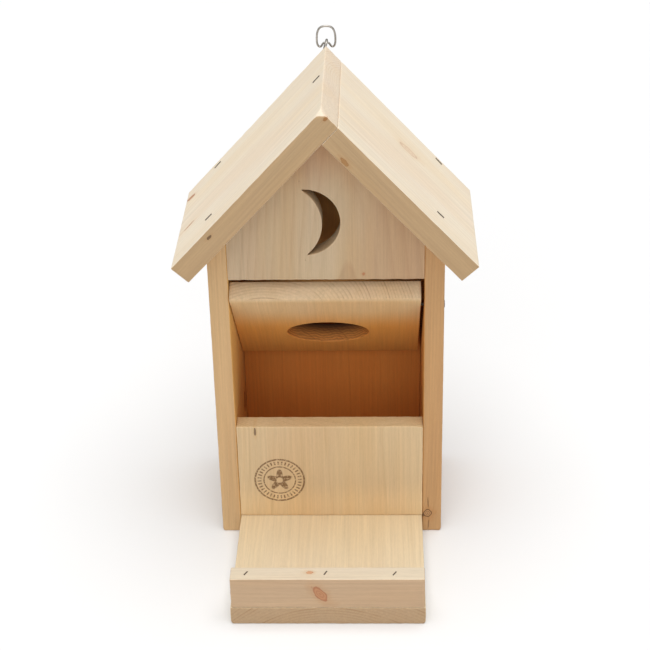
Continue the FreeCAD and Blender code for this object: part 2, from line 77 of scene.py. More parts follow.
@dataclass(frozen=True)
class HouseSizes:
    """The house's driving sizes, all worked out from the boxes of its fixed nodes."""

    board: float
    roof_board: float
    inside_half: float
    outside_half: float
    gable_bottom: float
    under_ridge: float
    rise: float
    eave_reach: float
    pivot: Vector
    tilt: float

    @classmethod
    def from_frame(cls) -> "HouseSizes":
        """Reads the sizes from the frame's boxes and joints.

        Returns:
            The sizes, with rise as the roof's rise over run.
        """
        riser_low, riser_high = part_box("riser_panel")
        _, wall_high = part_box("right_side_wall")
        _, panel_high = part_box("back_panel")
        gable_low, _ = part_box("gable_panel")
        roof_low, roof_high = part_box("left_roof_board")
        rise = (panel_high.z - wall_high.z) / panel_high.x
        seat = next(joint for joint in frame["joints"] if joint["name"] == "seat_tilt")
        return cls(
            board=riser_high.y - riser_low.y,
            roof_board=(roof_high.z - panel_high.z) * math.cos(math.atan(rise)),
            inside_half=panel_high.x,
            outside_half=wall_high.x,
            gable_bottom=gable_low.z,
            under_ridge=panel_high.z,
            rise=rise,
            eave_reach=-roof_low.x,
            pivot=Vector(seat["pos_m"]),
            tilt=math.radians(max(seat["range_deg"])),
        )

    @property
    def pitch(self) -> float:
        """The roof's slope in radians."""
        return math.atan(self.rise)

    @property
    def ridge(self) -> float:
        """Height of the ridge's sharp edge."""
        return self.under_ridge + self.roof_board / math.cos(self.pitch)

    @property
    def roof_length(self) -> float:
        """Ridge to eave along the slope."""
        return self.eave_reach / math.cos(self.pitch)


# ---------------------------------------------------------------------------------------------
# Shader wiring


class Wiring:
    """Adds and joins shader nodes in one material's tree."""

    def __init__(self, material: bpy.types.Material) -> None:
        """Starts an empty tree.

        Args:
            material: The material whose nodes are replaced.
        """
        material.use_nodes = True
        self.tree = material.node_tree
        self.tree.nodes.clear()

    def node(self, kind: str, **settings: object) -> bpy.types.Node:
        """Adds a node.

        Args:
            kind: The node's type name.
            settings: Properties of the node.

        Returns:
            The new node.
        """
        made = self.tree.nodes.new(kind)
        for name, value in settings.items():
            setattr(made, name, value)
        return made

    def feed(self, socket: Socket, value: object) -> None:
        """Gives an input a value or joins another node's output to it.

        Args:
            socket: The input.
            value: A number, a tuple or an output socket.
        """
        if isinstance(value, bpy.types.NodeSocket):
            self.tree.links.new(value, socket)
        elif socket.type == "RGBA":
            socket.default_value = (*value[:3], 1.0)
        else:
            socket.default_value = value

    def math(self, operation: str, *values: object) -> Socket:
        """A Math node's result.

        Args:
            operation: The operation's name.
            values: One to three numbers or sockets.

        Returns:
            The result's socket.
        """
        made = self.node("ShaderNodeMath", operation=operation)
        for socket, value in zip(made.inputs, values):
            self.feed(socket, value)
        return made.outputs[0]

    def product(self, first: object, second: object) -> Socket:
        """Two values multiplied."""
        return self.math("MULTIPLY", first, second)

    def scaled(self, value: object, factor: object, offset: object) -> Socket:
        """A value times a factor, plus an offset."""
        return self.math("MULTIPLY_ADD", value, factor, offset)

    def minus(self, first: object, second: object) -> Socket:
        """The first value less the second."""
        return self.math("SUBTRACT", first, second)

    def reach(self, side: Socket, up: Socket) -> Socket:
        """Length of a flat vector, the square root of side^2 + up^2."""
        return self.math("SQRT", self.scaled(side, side, self.product(up, up)))

    def wave(self, angle: Socket) -> Socket:
        """A sine from 0 to 1."""
        return self.scaled(self.math("SINE", angle), 0.5, 0.5)

    def dot(self, vector: Socket, direction: Sequence[float]) -> Socket:
        """A vector's length along a fixed direction."""
        made = self.node("ShaderNodeVectorMath", operation="DOT_PRODUCT")
        self.feed(made.inputs[0], vector)
        made.inputs[1].default_value = tuple(direction)
        return made.outputs["Value"]

    def shift(self, vector: Socket, origin: Sequence[float]) -> Socket:
        """A vector measured from a fixed origin."""
        made = self.node("ShaderNodeVectorMath", operation="SUBTRACT")
        self.feed(made.inputs[0], vector)
        made.inputs[1].default_value = tuple(origin)
        return made.outputs["Vector"]

    def combine(self, across: object, through: object, along: object) -> Socket:
        """A vector from three numbers or sockets."""
        made = self.node("ShaderNodeCombineXYZ")
        for socket, value in zip(made.inputs, (across, through, along)):
            self.feed(socket, value)
        return made.outputs[0]

    def drawn_out(self, place: Place, share: float) -> Socket:
        """Board coordinates with only a share of the along part, so patterns run with the grain."""
        return self.combine(place[0], place[1], self.product(place[2], share))

    def noise(
        self, vector: Socket, scale: float, detail: float = 2.0, rough: float = 0.5
    ) -> Socket:
        """A noise value from 0 to 1, centred on one half.

        Args:
            vector: Where the noise is read.
            scale: Features per metre of the vector.
            detail: Octaves.
            rough: Strength of the finer octaves.

        Returns:
            The noise's factor socket.
        """
        made = self.node("ShaderNodeTexNoise")
        self.feed(made.inputs["Vector"], vector)
        made.inputs["Scale"].default_value = scale
        made.inputs["Detail"].default_value = detail
        made.inputs["Roughness"].default_value = rough
        return made.outputs["Fac"]

    def smooth(self, value: Socket, low: float, high: float) -> Socket:
        """A smooth step that is 0 at low and 1 at high."""
        made = self.node("ShaderNodeMapRange", interpolation_type="SMOOTHSTEP")
        self.feed(made.inputs["Value"], value)
        made.inputs["From Min"].default_value = min(low, high)
        made.inputs["From Max"].default_value = max(low, high)
        made.inputs["To Min"].default_value = 0.0 if low < high else 1.0
        made.inputs["To Max"].default_value = 1.0 if low < high else 0.0
        return made.outputs["Result"]

    def ramp(self, factor: Socket, stops: Sequence[tuple[float, float]]) -> Socket:
        """A grey ramp.

        Args:
            factor: Position on the ramp.
            stops: Pairs of position and grey level.

        Returns:
            The ramp's value socket.
        """
        made = self.node("ShaderNodeValToRGB")
        self.feed(made.inputs[0], factor)
        elements = made.color_ramp.elements
        for element, (position, level) in zip(elements, (stops[0], stops[-1])):
            element.position, element.color = position, (level, level, level, 1)
        for position, level in stops[1:-1]:
            elements.new(position).color = (level, level, level, 1)
        return made.outputs["Color"]

    def blend(self, factor: object, first: object, second: object, how: str = "MIX") -> Socket:
        """Two colours mixed.

        Args:
            factor: Share of the second colour.
            first: A colour or a socket.
            second: A colour or a socket.
            how: The blend type's name.

        Returns:
            The mixed colour's socket.
        """
        made = self.node("ShaderNodeMix", data_type="RGBA", blend_type=how)
        self.feed(made.inputs["Factor"], factor)
        for name, value in (("A", first), ("B", second)):
            socket = next(s for s in made.inputs if s.name == name and s.type == "RGBA")
            self.feed(socket, value)
        return next(s for s in made.outputs if s.type == "RGBA")

    def bump(self, height: Socket, depth: float, strength: float = 1.0) -> Socket:
        """A normal bent by a height.

        Args:
            height: Height from 0 to 1.
            depth: Metres that the height stands for.
            strength: Share of the bend that is used.

        Returns:
            The normal's socket.
        """
        made = self.node("ShaderNodeBump")
        made.inputs["Strength"].default_value = strength
        made.inputs["Distance"].default_value = depth
        self.feed(made.inputs["Height"], height)
        return made.outputs["Normal"]

    def surface(self, colour: object, roughness: object, normal: Socket, **fixed: float) -> None:
        """Ends the tree in a Principled surface.

        Args:
            colour: Base colour or its socket.
            roughness: Roughness or its socket.
            normal: The bent normal.
            fixed: Values for inputs that are the same all over, by name with underscores.
        """
        shader = self.node("ShaderNodeBsdfPrincipled")
        self.feed(shader.inputs["Base Color"], colour)
        self.feed(shader.inputs["Roughness"], roughness)
        self.feed(shader.inputs["Normal"], normal)
        for name, value in fixed.items():
            shader.inputs[name.replace("_", " ")].default_value = value
        output = self.node("ShaderNodeOutputMaterial")
        self.tree.links.new(shader.outputs[0], output.inputs["Surface"])


# ---------------------------------------------------------------------------------------------
# Finishes


@dataclass(frozen=True)
class GrainFrame:
    """Where a board lies: its corner and its three unit directions."""

    corner: Triple
    across: Triple
    through: Triple
    along: Triple

    def place(self, local: np.ndarray) -> np.ndarray:
        """Board coordinates (across, through, along) as points in the row frame.

        Args:
            local: Array of shape (n, 3).

        Returns:
            Array of shape (n, 3).
        """
        return np.asarray(self.corner) + local @ np.array([self.across, self.through, self.along])


class KnotTone(Enum):
    """Colours of the marks that break a board's grain, heart first and rim second."""

    LIVE = ((0.40, 0.17, 0.06), (0.25, 0.09, 0.03))
    RED = ((0.50, 0.22, 0.10), (0.36, 0.12, 0.05))
    DARK = ((0.10, 0.05, 0.03), (0.05, 0.03, 0.02))
    RING = ((0.58, 0.32, 0.14), (0.09, 0.04, 0.02))
    FAINT = ((0.80, 0.62, 0.44), (0.50, 0.27, 0.15))
    PALE = ((0.62, 0.36, 0.14), (0.44, 0.21, 0.06))


@dataclass(frozen=True)
class Knot:
    """A knot or a streak on a board's wide face, or on a narrow one.

    With edge set, the knot lies on the narrow face at that distance across, and its own across
    is measured through the board.
    """

    across: float
    along: float
    radius: float
    stretch: float = 1.5
    lean: float = 0.0
    tone: KnotTone = KnotTone.LIVE
    depth: float = 1.0
    swirl: float = 1.0
    edge: float | None = None


@dataclass(frozen=True)
class Fade:
    """A tone that comes in along one of the board's directions: 0 across, 1 through, 2 along. It is
    partly the wood's own tone and partly painted shade and reflected light.

    face keeps it to the wide side that looks along (1) or against (-1) the through direction.
    """

    way: int
    start: float
    end: float
    tint: Colour
    face: float = 0.0


@dataclass(frozen=True)
class PineFinish:
    """Planed, unfinished softwood cut from one log: rings about a pith line, fibres and knots."""

    name: str
    grain: GrainFrame
    early: Colour = (0.80, 0.62, 0.40)
    late: Colour = (0.62, 0.40, 0.21)
    pith_across: float = 0.09
    pith_through: float = -0.06
    taper: float = 0.02
    spacing: float = 0.0042
    contrast: float = 0.45
    end_contrast: float = 0.8
    blotch: float = 0.35
    end_tint: Colour = (0.90, 0.84, 0.76)
    # The tint of the narrow faces is painted light and shade: lighter where more light falls on them,
    # darker where less does.
    narrow_light_and_shade: Colour = PLAIN
    # The indoor side's tint is painted reflected light and shade.
    inner_side: float = 0.0
    indoor_light_and_shade: Colour = (1.25, 1.05, 0.62)
    end_fade: tuple[float, float] = (0.55, 0.85)
    # How much the edges are lightened: partly rubbed wear, partly a painted highlight along them.
    wear_and_edge_sheen: float = 0.5
    # The fades are slow tones along the board: partly the wood's own, partly painted shade and
    # reflected light.
    fades: tuple[Fade, ...] = ()
    knots: tuple[Knot, ...] = ()

    def make(
        self, extra: Callable[[Wiring, Place, Socket], Socket] | None = None
    ) -> bpy.types.Material:
        """Builds the material.

        Args:
            extra: Adds something over the wood's colour; it gets the wiring, the board's
                coordinates and the colour, and returns the new colour.

        Returns:
            The material.
        """
        material = bpy.data.materials.new(self.name)
        wiring = Wiring(material)
        texture = wiring.node("ShaderNodeTexCoord")
        normal = texture.outputs["Normal"]
        spot = wiring.shift(texture.outputs["Object"], self.grain.corner)
        ways = (self.grain.across, self.grain.through, self.grain.along)
        place = tuple(wiring.dot(spot, way) for way in ways)
        end = self._facing(wiring, normal, self.grain.along)
        radius = self._ring_radius(wiring, place)
        distances = []
        for knot in self.knots:
            distances.append(self._knot_distance(wiring, knot, place))
            radius = self._swirl(wiring, knot, distances[-1], radius)
        late = self._late_wood(wiring, place, radius)
        fibre = self._fibre(wiring, place)
        colour = self._colour(wiring, place, late, fibre, end)
        for knot, distance in zip(self.knots, distances):
            colour = self._draw_knot(wiring, knot, distance, colour)
        # Painted light and shade: the narrow-face and indoor tints, then the slow fades, which are
        # partly the wood's own tone.
        colour = self._tints(wiring, normal, colour)
        colour = self._faded(wiring, place, normal, colour)
        if extra is not None:
            colour = extra(wiring, place, colour)
        worn = self._wear_and_sheen_mask(wiring, texture.outputs["Object"])
        # Edges lightened: partly rubbed wear, partly a painted highlight along the edges.
        wear_and_edge_sheen = wiring.product(worn, self.wear_and_edge_sheen)
        colour = wiring.blend(wear_and_edge_sheen, colour, (1.22, 1.20, 1.16), "MULTIPLY")
        height = wiring.scaled(late, 0.35, wiring.product(fibre, 0.65))
        rough = wiring.scaled(late, -0.10, wiring.scaled(end, 0.18, 0.66))
        rough = wiring.scaled(worn, -0.12, rough)
        bumped = wiring.bump(height, 0.30 * MM, 0.5)
        wiring.surface(colour, rough, bumped, Specular_IOR_Level=0.30)
        return material

    def _facing(
        self,
        wiring: Wiring,
        normal: Socket,
        direction: Triple,
        side: float = 0.0,
        limits: tuple[float, float] = (0.55, 0.85),
    ) -> Socket:
        """1 on faces that look along a direction, 0 on the others.

        Args:
            wiring: The material's tree.
            normal: The surface's direction.
            direction: The direction along which a face looks.
            side: 1 or -1 for one way only, 0 for both.
            limits: Where the mask starts and where it is full, as cosines.

        Returns:
            The mask's socket.
        """
        facing = wiring.dot(normal, direction)
        facing = wiring.product(facing, side) if side else wiring.math("ABSOLUTE", facing)
        return wiring.smooth(facing, *limits)

    def _tints(self, wiring: Wiring, normal: Socket, colour: Socket) -> Socket:
        """The sawn ends in their own tone, then painted light and shade: a tint on the narrow faces
        and a tint on the side that looks indoors.
        """
        end = self._facing(wiring, normal, self.grain.along, limits=self.end_fade)
        colour = wiring.blend(end, colour, self.end_tint, "MULTIPLY")
        # Painted light and shade on the narrow faces.
        if self.narrow_light_and_shade != PLAIN:
            narrow = self._facing(wiring, normal, self.grain.across)
            colour = wiring.blend(narrow, colour, self.narrow_light_and_shade, "MULTIPLY")
        # Painted reflected light and shade on the side that looks indoors.
        if self.inner_side:
            inner = self._facing(wiring, normal, self.grain.through, self.inner_side)
            colour = wiring.blend(inner, colour, self.indoor_light_and_shade, "MULTIPLY")
        return colour

    def _faded(self, wiring: Wiring, place: Place, normal: Socket, colour: Socket) -> Socket:
        """The tones that come in along the board: partly the wood's own, partly painted shade and
        reflected light.
        """
        for fade in self.fades:
            share = wiring.smooth(place[fade.way], fade.start, fade.end)
            if fade.face:
                facing = self._facing(wiring, normal, self.grain.through, fade.face)
                share = wiring.product(share, facing)
            colour = wiring.blend(share, colour, fade.tint, "MULTIPLY")
        return colour

    def _wear_and_sheen_mask(self, wiring: Wiring, spot: Socket) -> Socket:
        """Rubbed edges: the piece's own edge wear, broken up by noise; in the colour it also gives a
        painted highlight along the edges.
        """
        wear = wiring.node(
            "ShaderNodeAttribute", attribute_type="GEOMETRY", attribute_name="edge_wear"
        )
        broken = wiring.smooth(wiring.noise(spot, 260.0, 3.0), 0.32, 0.62)
        return wiring.product(wiring.smooth(wear.outputs["Fac"], 0.35, 0.95), broken)

    def _ring_radius(self, wiring: Wiring, place: Place) -> Socket:
        """Distance from a wandering, slightly tilted pith line."""
        across, through, along = place
        slow = wiring.noise(wiring.drawn_out(place, 0.16), 11.0, 1.0)
        slower = wiring.noise(wiring.drawn_out((through, across, along), 0.30), 6.0, 1.0)
        wander, drift = wiring.scaled(slow, 0.022, -0.011), wiring.scaled(slower, 0.030, -0.015)
        side = wiring.math("ADD", wiring.minus(across, self.pith_across), wander)
        tilt = wiring.scaled(along, self.taper, self.pith_through)
        return wiring.reach(side, wiring.math("ADD", wiring.minus(through, tilt), drift))

    def _knot_distance(self, wiring: Wiring, knot: Knot, place: Place) -> Socket:
        """Distance from the knot's middle, in knot radii, measured on its face."""
        across, through, along = place
        cos, sin = math.cos(math.radians(knot.lean)), math.sin(math.radians(knot.lean))
        face_way = across if knot.edge is None else through
        side = wiring.minus(face_way, knot.across)
        up = wiring.minus(along, knot.along)
        long_way = wiring.scaled(up, cos, wiring.product(side, sin))
        short_way = wiring.scaled(side, cos, wiring.product(up, -sin))
        flat = wiring.reach(
            wiring.math("DIVIDE", long_way, knot.radius * knot.stretch),
            wiring.math("DIVIDE", short_way, knot.radius),
        )
        uneven = wiring.noise(wiring.combine(face_way, 0.0, along), 0.6 / knot.radius, 2.0)
        distance = wiring.product(flat, wiring.math("ADD", uneven, 0.5))
        if knot.edge is None:
            return distance
        depth = wiring.math("ABSOLUTE", wiring.minus(across, knot.edge))
        return wiring.scaled(wiring.smooth(depth, 3.0 * MM, 6.0 * MM), 9.0, distance)

    def _swirl(self, wiring: Wiring, knot: Knot, distance: Socket, radius: Socket) -> Socket:
        """Pushes the rings aside round a knot, by up to its own radius."""
        near = wiring.math("POWER", math.e, wiring.product(distance, -0.75))
        return wiring.scaled(near, knot.radius * knot.swirl * 1.4, radius)

    def _late_wood(self, wiring: Wiring, place: Place, radius: Socket) -> Socket:
        """The dark band of each year's ring, rising slowly, ending sharply, fading in places."""
        ring = wiring.math("DIVIDE", radius, self.spacing)
        year = wiring.node("ShaderNodeTexWhiteNoise", noise_dimensions="1D")
        wiring.feed(year.inputs["W"], wiring.math("FLOOR", ring))
        rise = ((0.0, 0.15), (0.12, 0.0), (0.55, 0.12), (0.84, 0.70), (0.94, 1.0), (1.0, 0.15))
        band = wiring.ramp(wiring.math("FRACT", ring), rise)
        strength = wiring.scaled(wiring.math("POWER", year.outputs["Value"], 1.6), 0.75, 0.25)
        patchy = wiring.noise(wiring.drawn_out(place, 0.22), 45.0, 2.0)
        return wiring.product(band, wiring.product(strength, wiring.smooth(patchy, 0.22, 0.60)))

    def _fibre(self, wiring: Wiring, place: Place) -> Socket:
        """Fine fibres: noise drawn out along the grain."""
        coarse = wiring.noise(wiring.drawn_out(place, 0.02), 620.0, 3.0, 0.6)
        fine = wiring.noise(wiring.drawn_out(place, 0.12), 1150.0, 3.0, 0.65)
        return wiring.scaled(coarse, 0.6, wiring.product(fine, 0.4))

    def _colour(
        self, wiring: Wiring, place: Place, late: Socket, fibre: Socket, end: Socket
    ) -> Socket:
        """Early and late wood mixed, then varied by fibres and two kinds of broad patch."""
        across, through, along = place
        depth = wiring.scaled(end, self.end_contrast - self.contrast, self.contrast)
        colour = wiring.blend(wiring.product(late, depth), self.early, self.late)
        streaks = wiring.noise(wiring.drawn_out(place, 0.025), 330.0, 3.0)
        shade = wiring.product(
            wiring.scaled(fibre, 0.44, 0.78), wiring.scaled(streaks, 0.22, 0.89)
        )
        colour = wiring.blend(1.0, colour, wiring.combine(shade, shade, shade), "MULTIPLY")
        patch = wiring.noise(wiring.drawn_out(place, 0.16), 26.0, 2.0)
        warm = wiring.product(wiring.smooth(patch, 0.38, 0.68), self.blotch)
        colour = wiring.blend(warm, colour, (0.99, 0.86, 0.68), "MULTIPLY")
        haze = wiring.noise(wiring.drawn_out((through, across, along), 0.3), 19.0, 2.0)
        cool = wiring.product(wiring.smooth(haze, 0.42, 0.70), self.blotch)
        return wiring.blend(cool, colour, (0.97, 0.95, 1.04), "MULTIPLY")

    def _draw_knot(
        self, wiring: Wiring, knot: Knot, distance: Socket, colour: Socket
    ) -> Socket:
        """Paints a knot: a darker rim, a ringed heart and a faint halo."""
        heart, rim = knot.tone.value
        rings = wiring.wave(wiring.product(distance, 16.0))
        inside = wiring.blend(wiring.product(rings, 0.6), heart, rim)
        inside = wiring.blend(wiring.smooth(distance, 0.72, 1.0), inside, rim)
        halo = wiring.product(wiring.smooth(distance, 2.6, 0.9), 0.35 * knot.depth)
        colour = wiring.blend(halo, colour, (0.86, 0.62, 0.38), "MULTIPLY")
        inner = wiring.product(wiring.smooth(distance, 1.12, 0.94), knot.depth)
        return wiring.blend(inner, colour, inside)


@dataclass(frozen=True)
class SteelFinish:
    """Dull bare or zinc-coated steel."""

    name: str
    colour: Colour
    roughness: float

    def make(self) -> bpy.types.Material:
        """Builds the material: metal with faint tarnish patches and drawn-wire scratches.

        Returns:
            The material.
        """
        material = bpy.data.materials.new(self.name)
        wiring = Wiring(material)
        place = wiring.node("ShaderNodeTexCoord").outputs["Object"]
        patch = wiring.smooth(wiring.noise(place, 420.0, 3.0), 0.35, 0.70)
        dark = tuple(0.55 * channel for channel in self.colour)
        colour = wiring.blend(wiring.product(patch, 0.6), self.colour, dark)
        rough = wiring.scaled(patch, 0.2, self.roughness)
        normal = wiring.bump(wiring.noise(place, 2400.0, 2.0), 0.04 * MM, 0.5)
        wiring.surface(colour, rough, normal, Metallic=1.0)
        return material


def dress(piece: bpy.types.Object, material: bpy.types.Material) -> None:
    """Gives every face of a piece one material.

    Args:
        piece: The object.
        material: The material for its slots.
    """
    if not piece.data.materials:
        piece.data.materials.append(material)
    for index in range(len(piece.material_slots)):
        piece.material_slots[index].material = material


# ---------------------------------------------------------------------------------------------
# Surfaces


def lattice_noise(points: np.ndarray, cell: float, seed: int) -> np.ndarray:
    """Smooth noise from -1 to 1.

    Formula: random values on a cubic lattice, mixed between the eight corners round a point with
    the weight 3t^2 - 2t^3 along each direction.

    Args:
        points: Array of shape (..., 3).
        cell: Lattice spacing.
        seed: Picks the random values.

    Returns:
        Array of shape (...).
    """
    table = np.random.default_rng(seed).uniform(-1.0, 1.0, (32, 32, 32))
    scaled = points / cell
    low = np.floor(scaled).astype(int)
    part = scaled - low
    weight = part * part * (3.0 - 2.0 * part)
    total = np.zeros(points.shape[:-1])
    for corner in np.ndindex(2, 2, 2):
        index = (low + np.array(corner)) % 32
        share = np.prod(np.where(np.array(corner) == 1, weight, 1.0 - weight), axis=-1)
        total += share * table[index[..., 0], index[..., 1], index[..., 2]]
    return total


def steps(length: float, pitch: float, lead: float) -> np.ndarray:
    """Positions from 0 to length, evenly spaced, closer together inside each end."""
    close = lead * np.array([0.0, 1.0, 2.0, 3.5])
    inner = lead * 5.5
    middle = np.linspace(inner, length - inner, max(2, round(length / pitch)))
    return np.concatenate([close, middle, length - close[::-1]])


def rounded_section(
    width: float, depth: float, radius: float, inset: float, pitch: float
) -> np.ndarray:
    """A rectangle with rounded corners as a loop of points.

    Formula: four straight sides between the corner arcs; an inset pulls every side inwards and
    takes the same length off the corner radius, so insets nest and share their points.

    Args:
        width: Full width.
        depth: Full depth.
        radius: Corner radius with no inset.
        inset: How far the loop lies inside the full section.
        pitch: Spacing of the points on the sides.

    Returns:
        Array of shape (points, 2) of width and depth, measured from the section's corner.
    """
    corner = max(radius - inset, 0.0)
    edge = inset + corner
    wide, deep = (
        steps(side - 2 * radius, pitch, END_LEAD)[1:-1, None] / (side - 2 * radius)
        for side in (width, depth)
    )
    turns = (
        (width - edge, edge, -math.pi / 2, deep),
        (width - edge, depth - edge, 0.0, wide),
        (edge, depth - edge, math.pi / 2, deep),
        (edge, edge, math.pi, wide),
    )
    arcs = [
        np.array(middle) + corner * np.stack([np.cos(start + QUARTER), np.sin(start + QUARTER)], -1)
        for *middle, start, _ in turns
    ]
    loop = []
    for arc, following, (_, _, _, run) in zip(arcs, arcs[1:] + arcs[:1], turns):
        loop += [arc, arc[-1] + (following[0] - arc[-1]) * run]
    return np.concatenate(loop)


def board_rings(
    width: float, depth: float, length: float, radius: float, pitch: float = 3.0 * MM
) -> np.ndarray:
    """A whole board as rings carried along its grain.

    Formula: the rounded section at every station along the board; at both ends the section is
    inset along a quarter circle and then drawn in until its two wide sides meet.

    Args:
        width: Across the grain, on the wide face.
        depth: Thickness.
        length: Along the grain.
        radius: Rounding of every edge.
        pitch: Spacing of the points.

    Returns:
        Array of shape (stations, points, 3) of across, through and along.
    """
    flat = np.linspace(radius, depth / 2, 7)[1:][::-1]
    insets = np.concatenate([flat, radius * (1 - np.sin(QUARTER))])
    along = np.concatenate([np.zeros(len(flat)), radius * (1 - np.cos(QUARTER))])
    middle = radius + steps(length - 2 * radius, pitch, END_LEAD)[1:-1]
    insets = np.concatenate([insets, np.zeros(len(middle)), insets[::-1]])
    along = np.concatenate([along, middle, length - along[::-1]])
    rings = []
    for inset, station in zip(insets, along):
        loop = rounded_section(width, depth, radius, inset, pitch)
        rings.append(np.column_stack([loop, np.full(len(loop), station)]))
    return np.stack(rings)


def ease_edge(
    points: np.ndarray, size: Sequence[float], sides: Sequence[tuple[int, bool]], radius: float
) -> np.ndarray:
    """Rounds the edge where two of a board's sides meet.

    Formula: a point that lies outside the quarter circle of the rounding is drawn in to it.

    Args:
        points: Array of shape (..., 3) in the board's directions.
        size: The board's size in those directions.
        sides: The two sides, each as a direction's number and whether it is the far side.
        radius: Radius of the rounding.

    Returns:
        The moved points.
    """
    moved = points.copy()
    gaps = [size[way] - points[..., way] if far else points[..., way] for way, far in sides]
    short = [radius - gap for gap in gaps]
    reach = np.hypot(*short)
    outside = (short[0] > 0) & (short[1] > 0) & (reach > radius)
    pull = np.where(outside, 1.0 - radius / np.maximum(reach, radius), 0.0)
    for (way, far), length in zip(sides, short):
        moved[..., way] += (-1.0 if far else 1.0) * length * pull
    return moved


def polygon_loop(
    corners: Sequence[tuple[float, float]], counts: Sequence[int], inset: float
) -> np.ndarray:
    """A convex outline drawn in by a distance.

    Formula: every side is moved inwards along its normal, and neighbouring sides meet again.

    Args:
        corners: The outline's corners, anticlockwise.
        counts: Points on the side that starts at each corner.
        inset: Distance inwards.

    Returns:
        Array of shape (points, 2).
    """
    ring = np.asarray(corners, float)
    side = np.roll(ring, -1, axis=0) - ring
    unit = side / np.linalg.norm(side, axis=1, keepdims=True)
    inward = np.stack([-unit[:, 1], unit[:, 0]], -1)
    before = np.roll(inward, 1, axis=0)
    mitre = (inward + before) / (1.0 + np.sum(inward * before, axis=1, keepdims=True))
    moved = ring + inset * mitre
    after = np.roll(moved, -1, axis=0)
    parts = []
    for start, end, count in zip(moved, after, counts):
        share = np.linspace(0.0, 1.0, count, endpoint=False)[:, None]
        parts.append(start + (end - start) * share)
    return np.concatenate(parts)


def plate_rings(
    outline: Callable[[float], np.ndarray],
    hole: Callable[[float], np.ndarray],
    depth: float,
    outer_round: float,
    hole_round: float,
    across_steps: int = 36,
) -> tuple[np.ndarray, np.ndarray]:
    """A board with one opening, as rings that run round its section from the hole and back.

    Formula: the front is a straight mix of the hole's edge and the outline, the outer side and
    the hole's wall are those curves carried through the thickness, and quarter circles join them.

    Args:
        outline: Outline at an inset.
        hole: Hole's edge, widened by a distance.
        depth: Thickness.
        outer_round: Rounding of the outer edges.
        hole_round: Rounding of the hole's edges.
        across_steps: Steps between the hole and the outline.

    Returns:
        Rings of shape (stations, points, 3) as across, through and along, and the edge wear.
    """
    share = 0.5 - 0.5 * np.cos(np.linspace(0.0, math.pi, across_steps))
    through = np.linspace(0.0, 1.0, 11)[1:-1]
    rings, wear = [], []

    def add(flat: np.ndarray, level: float, worn: np.ndarray | float) -> None:
        """Adds one ring at a depth."""
        rings.append(np.column_stack([flat[:, 0], np.full(len(flat), level), flat[:, 1]]))
        wear.append(np.broadcast_to(worn, len(flat)))

    def face(level: float, order: np.ndarray) -> None:
        """Adds the rings of one wide face."""
        inner, outer = hole(hole_round), outline(outer_round)
        reach = np.linalg.norm(outer - inner, axis=1)
        for part in order:
            gap = np.minimum(reach * part + hole_round, reach * (1 - part) + outer_round)
            add(inner + (outer - inner) * part, level, np.exp(-gap / WEAR_REACH))

    def side(curve: Callable[[float], np.ndarray], rounding: float, down: bool) -> None:
        """Adds the rings through the thickness."""
        first = [(rounding * (1 - np.sin(a)), rounding * (1 - np.cos(a))) for a in QUARTER[1:]]
        straight = [(0.0, rounding + (depth - 2 * rounding) * s) for s in through]
        last = [(inset, depth - level) for inset, level in first[::-1]]
        run = first + straight + last
        for inset, level in run if down else run[::-1]:
            add(curve(inset), level, math.exp(-min(level, depth - level) / WEAR_REACH))

    face(0.0, share)
    side(outline, outer_round, True)
    face(depth, share[::-1])
    side(hole, hole_round, False)
    return np.stack(rings), np.stack(wear)


def edge_wear(local: np.ndarray, size: Sequence[float]) -> np.ndarray:
    """Closeness to a board's edges, 1 on them and fading over a few millimetres.

    Formula: exp(-d / WEAR_REACH), where d is the second smallest distance to the board's sides.

    Args:
        local: Array of shape (..., 3) in the board's own directions.
        size: The board's size in those directions.

    Returns:
        Array of shape (...).
    """
    gap = np.minimum(local, np.asarray(size) - local)
    second = np.sort(np.maximum(gap, 0.0), axis=-1)[..., 1]
    return np.exp(-second / WEAR_REACH)


def skin(name: str, rings: np.ndarray, wear: np.ndarray, closed: bool) -> bpy.types.Object:
    """Makes a closed mesh from rings of points.

    Formula: a four-sided face between each pair of neighbouring points on neighbouring rings.

    Args:
        name: The piece's name.
        rings: Array of shape (stations, points, 3) in the row frame.
        wear: Array of shape (stations, points), kept as the attribute edge_wear.
        closed: True where the last ring joins the first.

    Returns:
        The object, linked to the scene.
    """
    stations, points = rings.shape[:2]
    index = np.arange(stations * points).reshape(stations, points)
    lower, upper = (index, np.roll(index, -1, axis=0)) if closed else (index[:-1], index[1:])
    quads = np.stack([lower, np.roll(lower, -1, 1), np.roll(upper, -1, 1), upper], -1)
    mesh = bpy.data.meshes.new(name)
    mesh.from_pydata(rings.reshape(-1, 3).tolist(), [], quads.reshape(-1, 4).tolist())
    mesh.attributes.new("edge_wear", "FLOAT", "POINT").data.foreach_set(
        "value", np.ascontiguousarray(wear, np.float32).ravel()
    )
    tidy = bmesh.new()
    tidy.from_mesh(mesh)
    bmesh.ops.remove_doubles(tidy, verts=tidy.verts, dist=WELD)
    bmesh.ops.recalc_face_normals(tidy, faces=tidy.faces)
    tidy.to_mesh(mesh)
    tidy.free()
    mesh.shade_smooth()
    piece = bpy.data.objects.new(name, mesh)
    bpy.context.scene.collection.objects.link(piece)
    return piece


def place_piece(
    piece: bpy.types.Object, node: str, material: bpy.types.Material, body: str = "house"
) -> None:
    """Dresses a piece, sets it on its body and lets it stand for its node.

    Args:
        piece: The object.
        node: The frame's node that it replaces.
        material: Its material.
        body: The body that it moves with.
    """
    dress(piece, material)
    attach(piece, body)
    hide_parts(node)
    LOG.info("%s: %d faces", piece.name, len(piece.data.polygons))


# ---------------------------------------------------------------------------------------------
# Boards


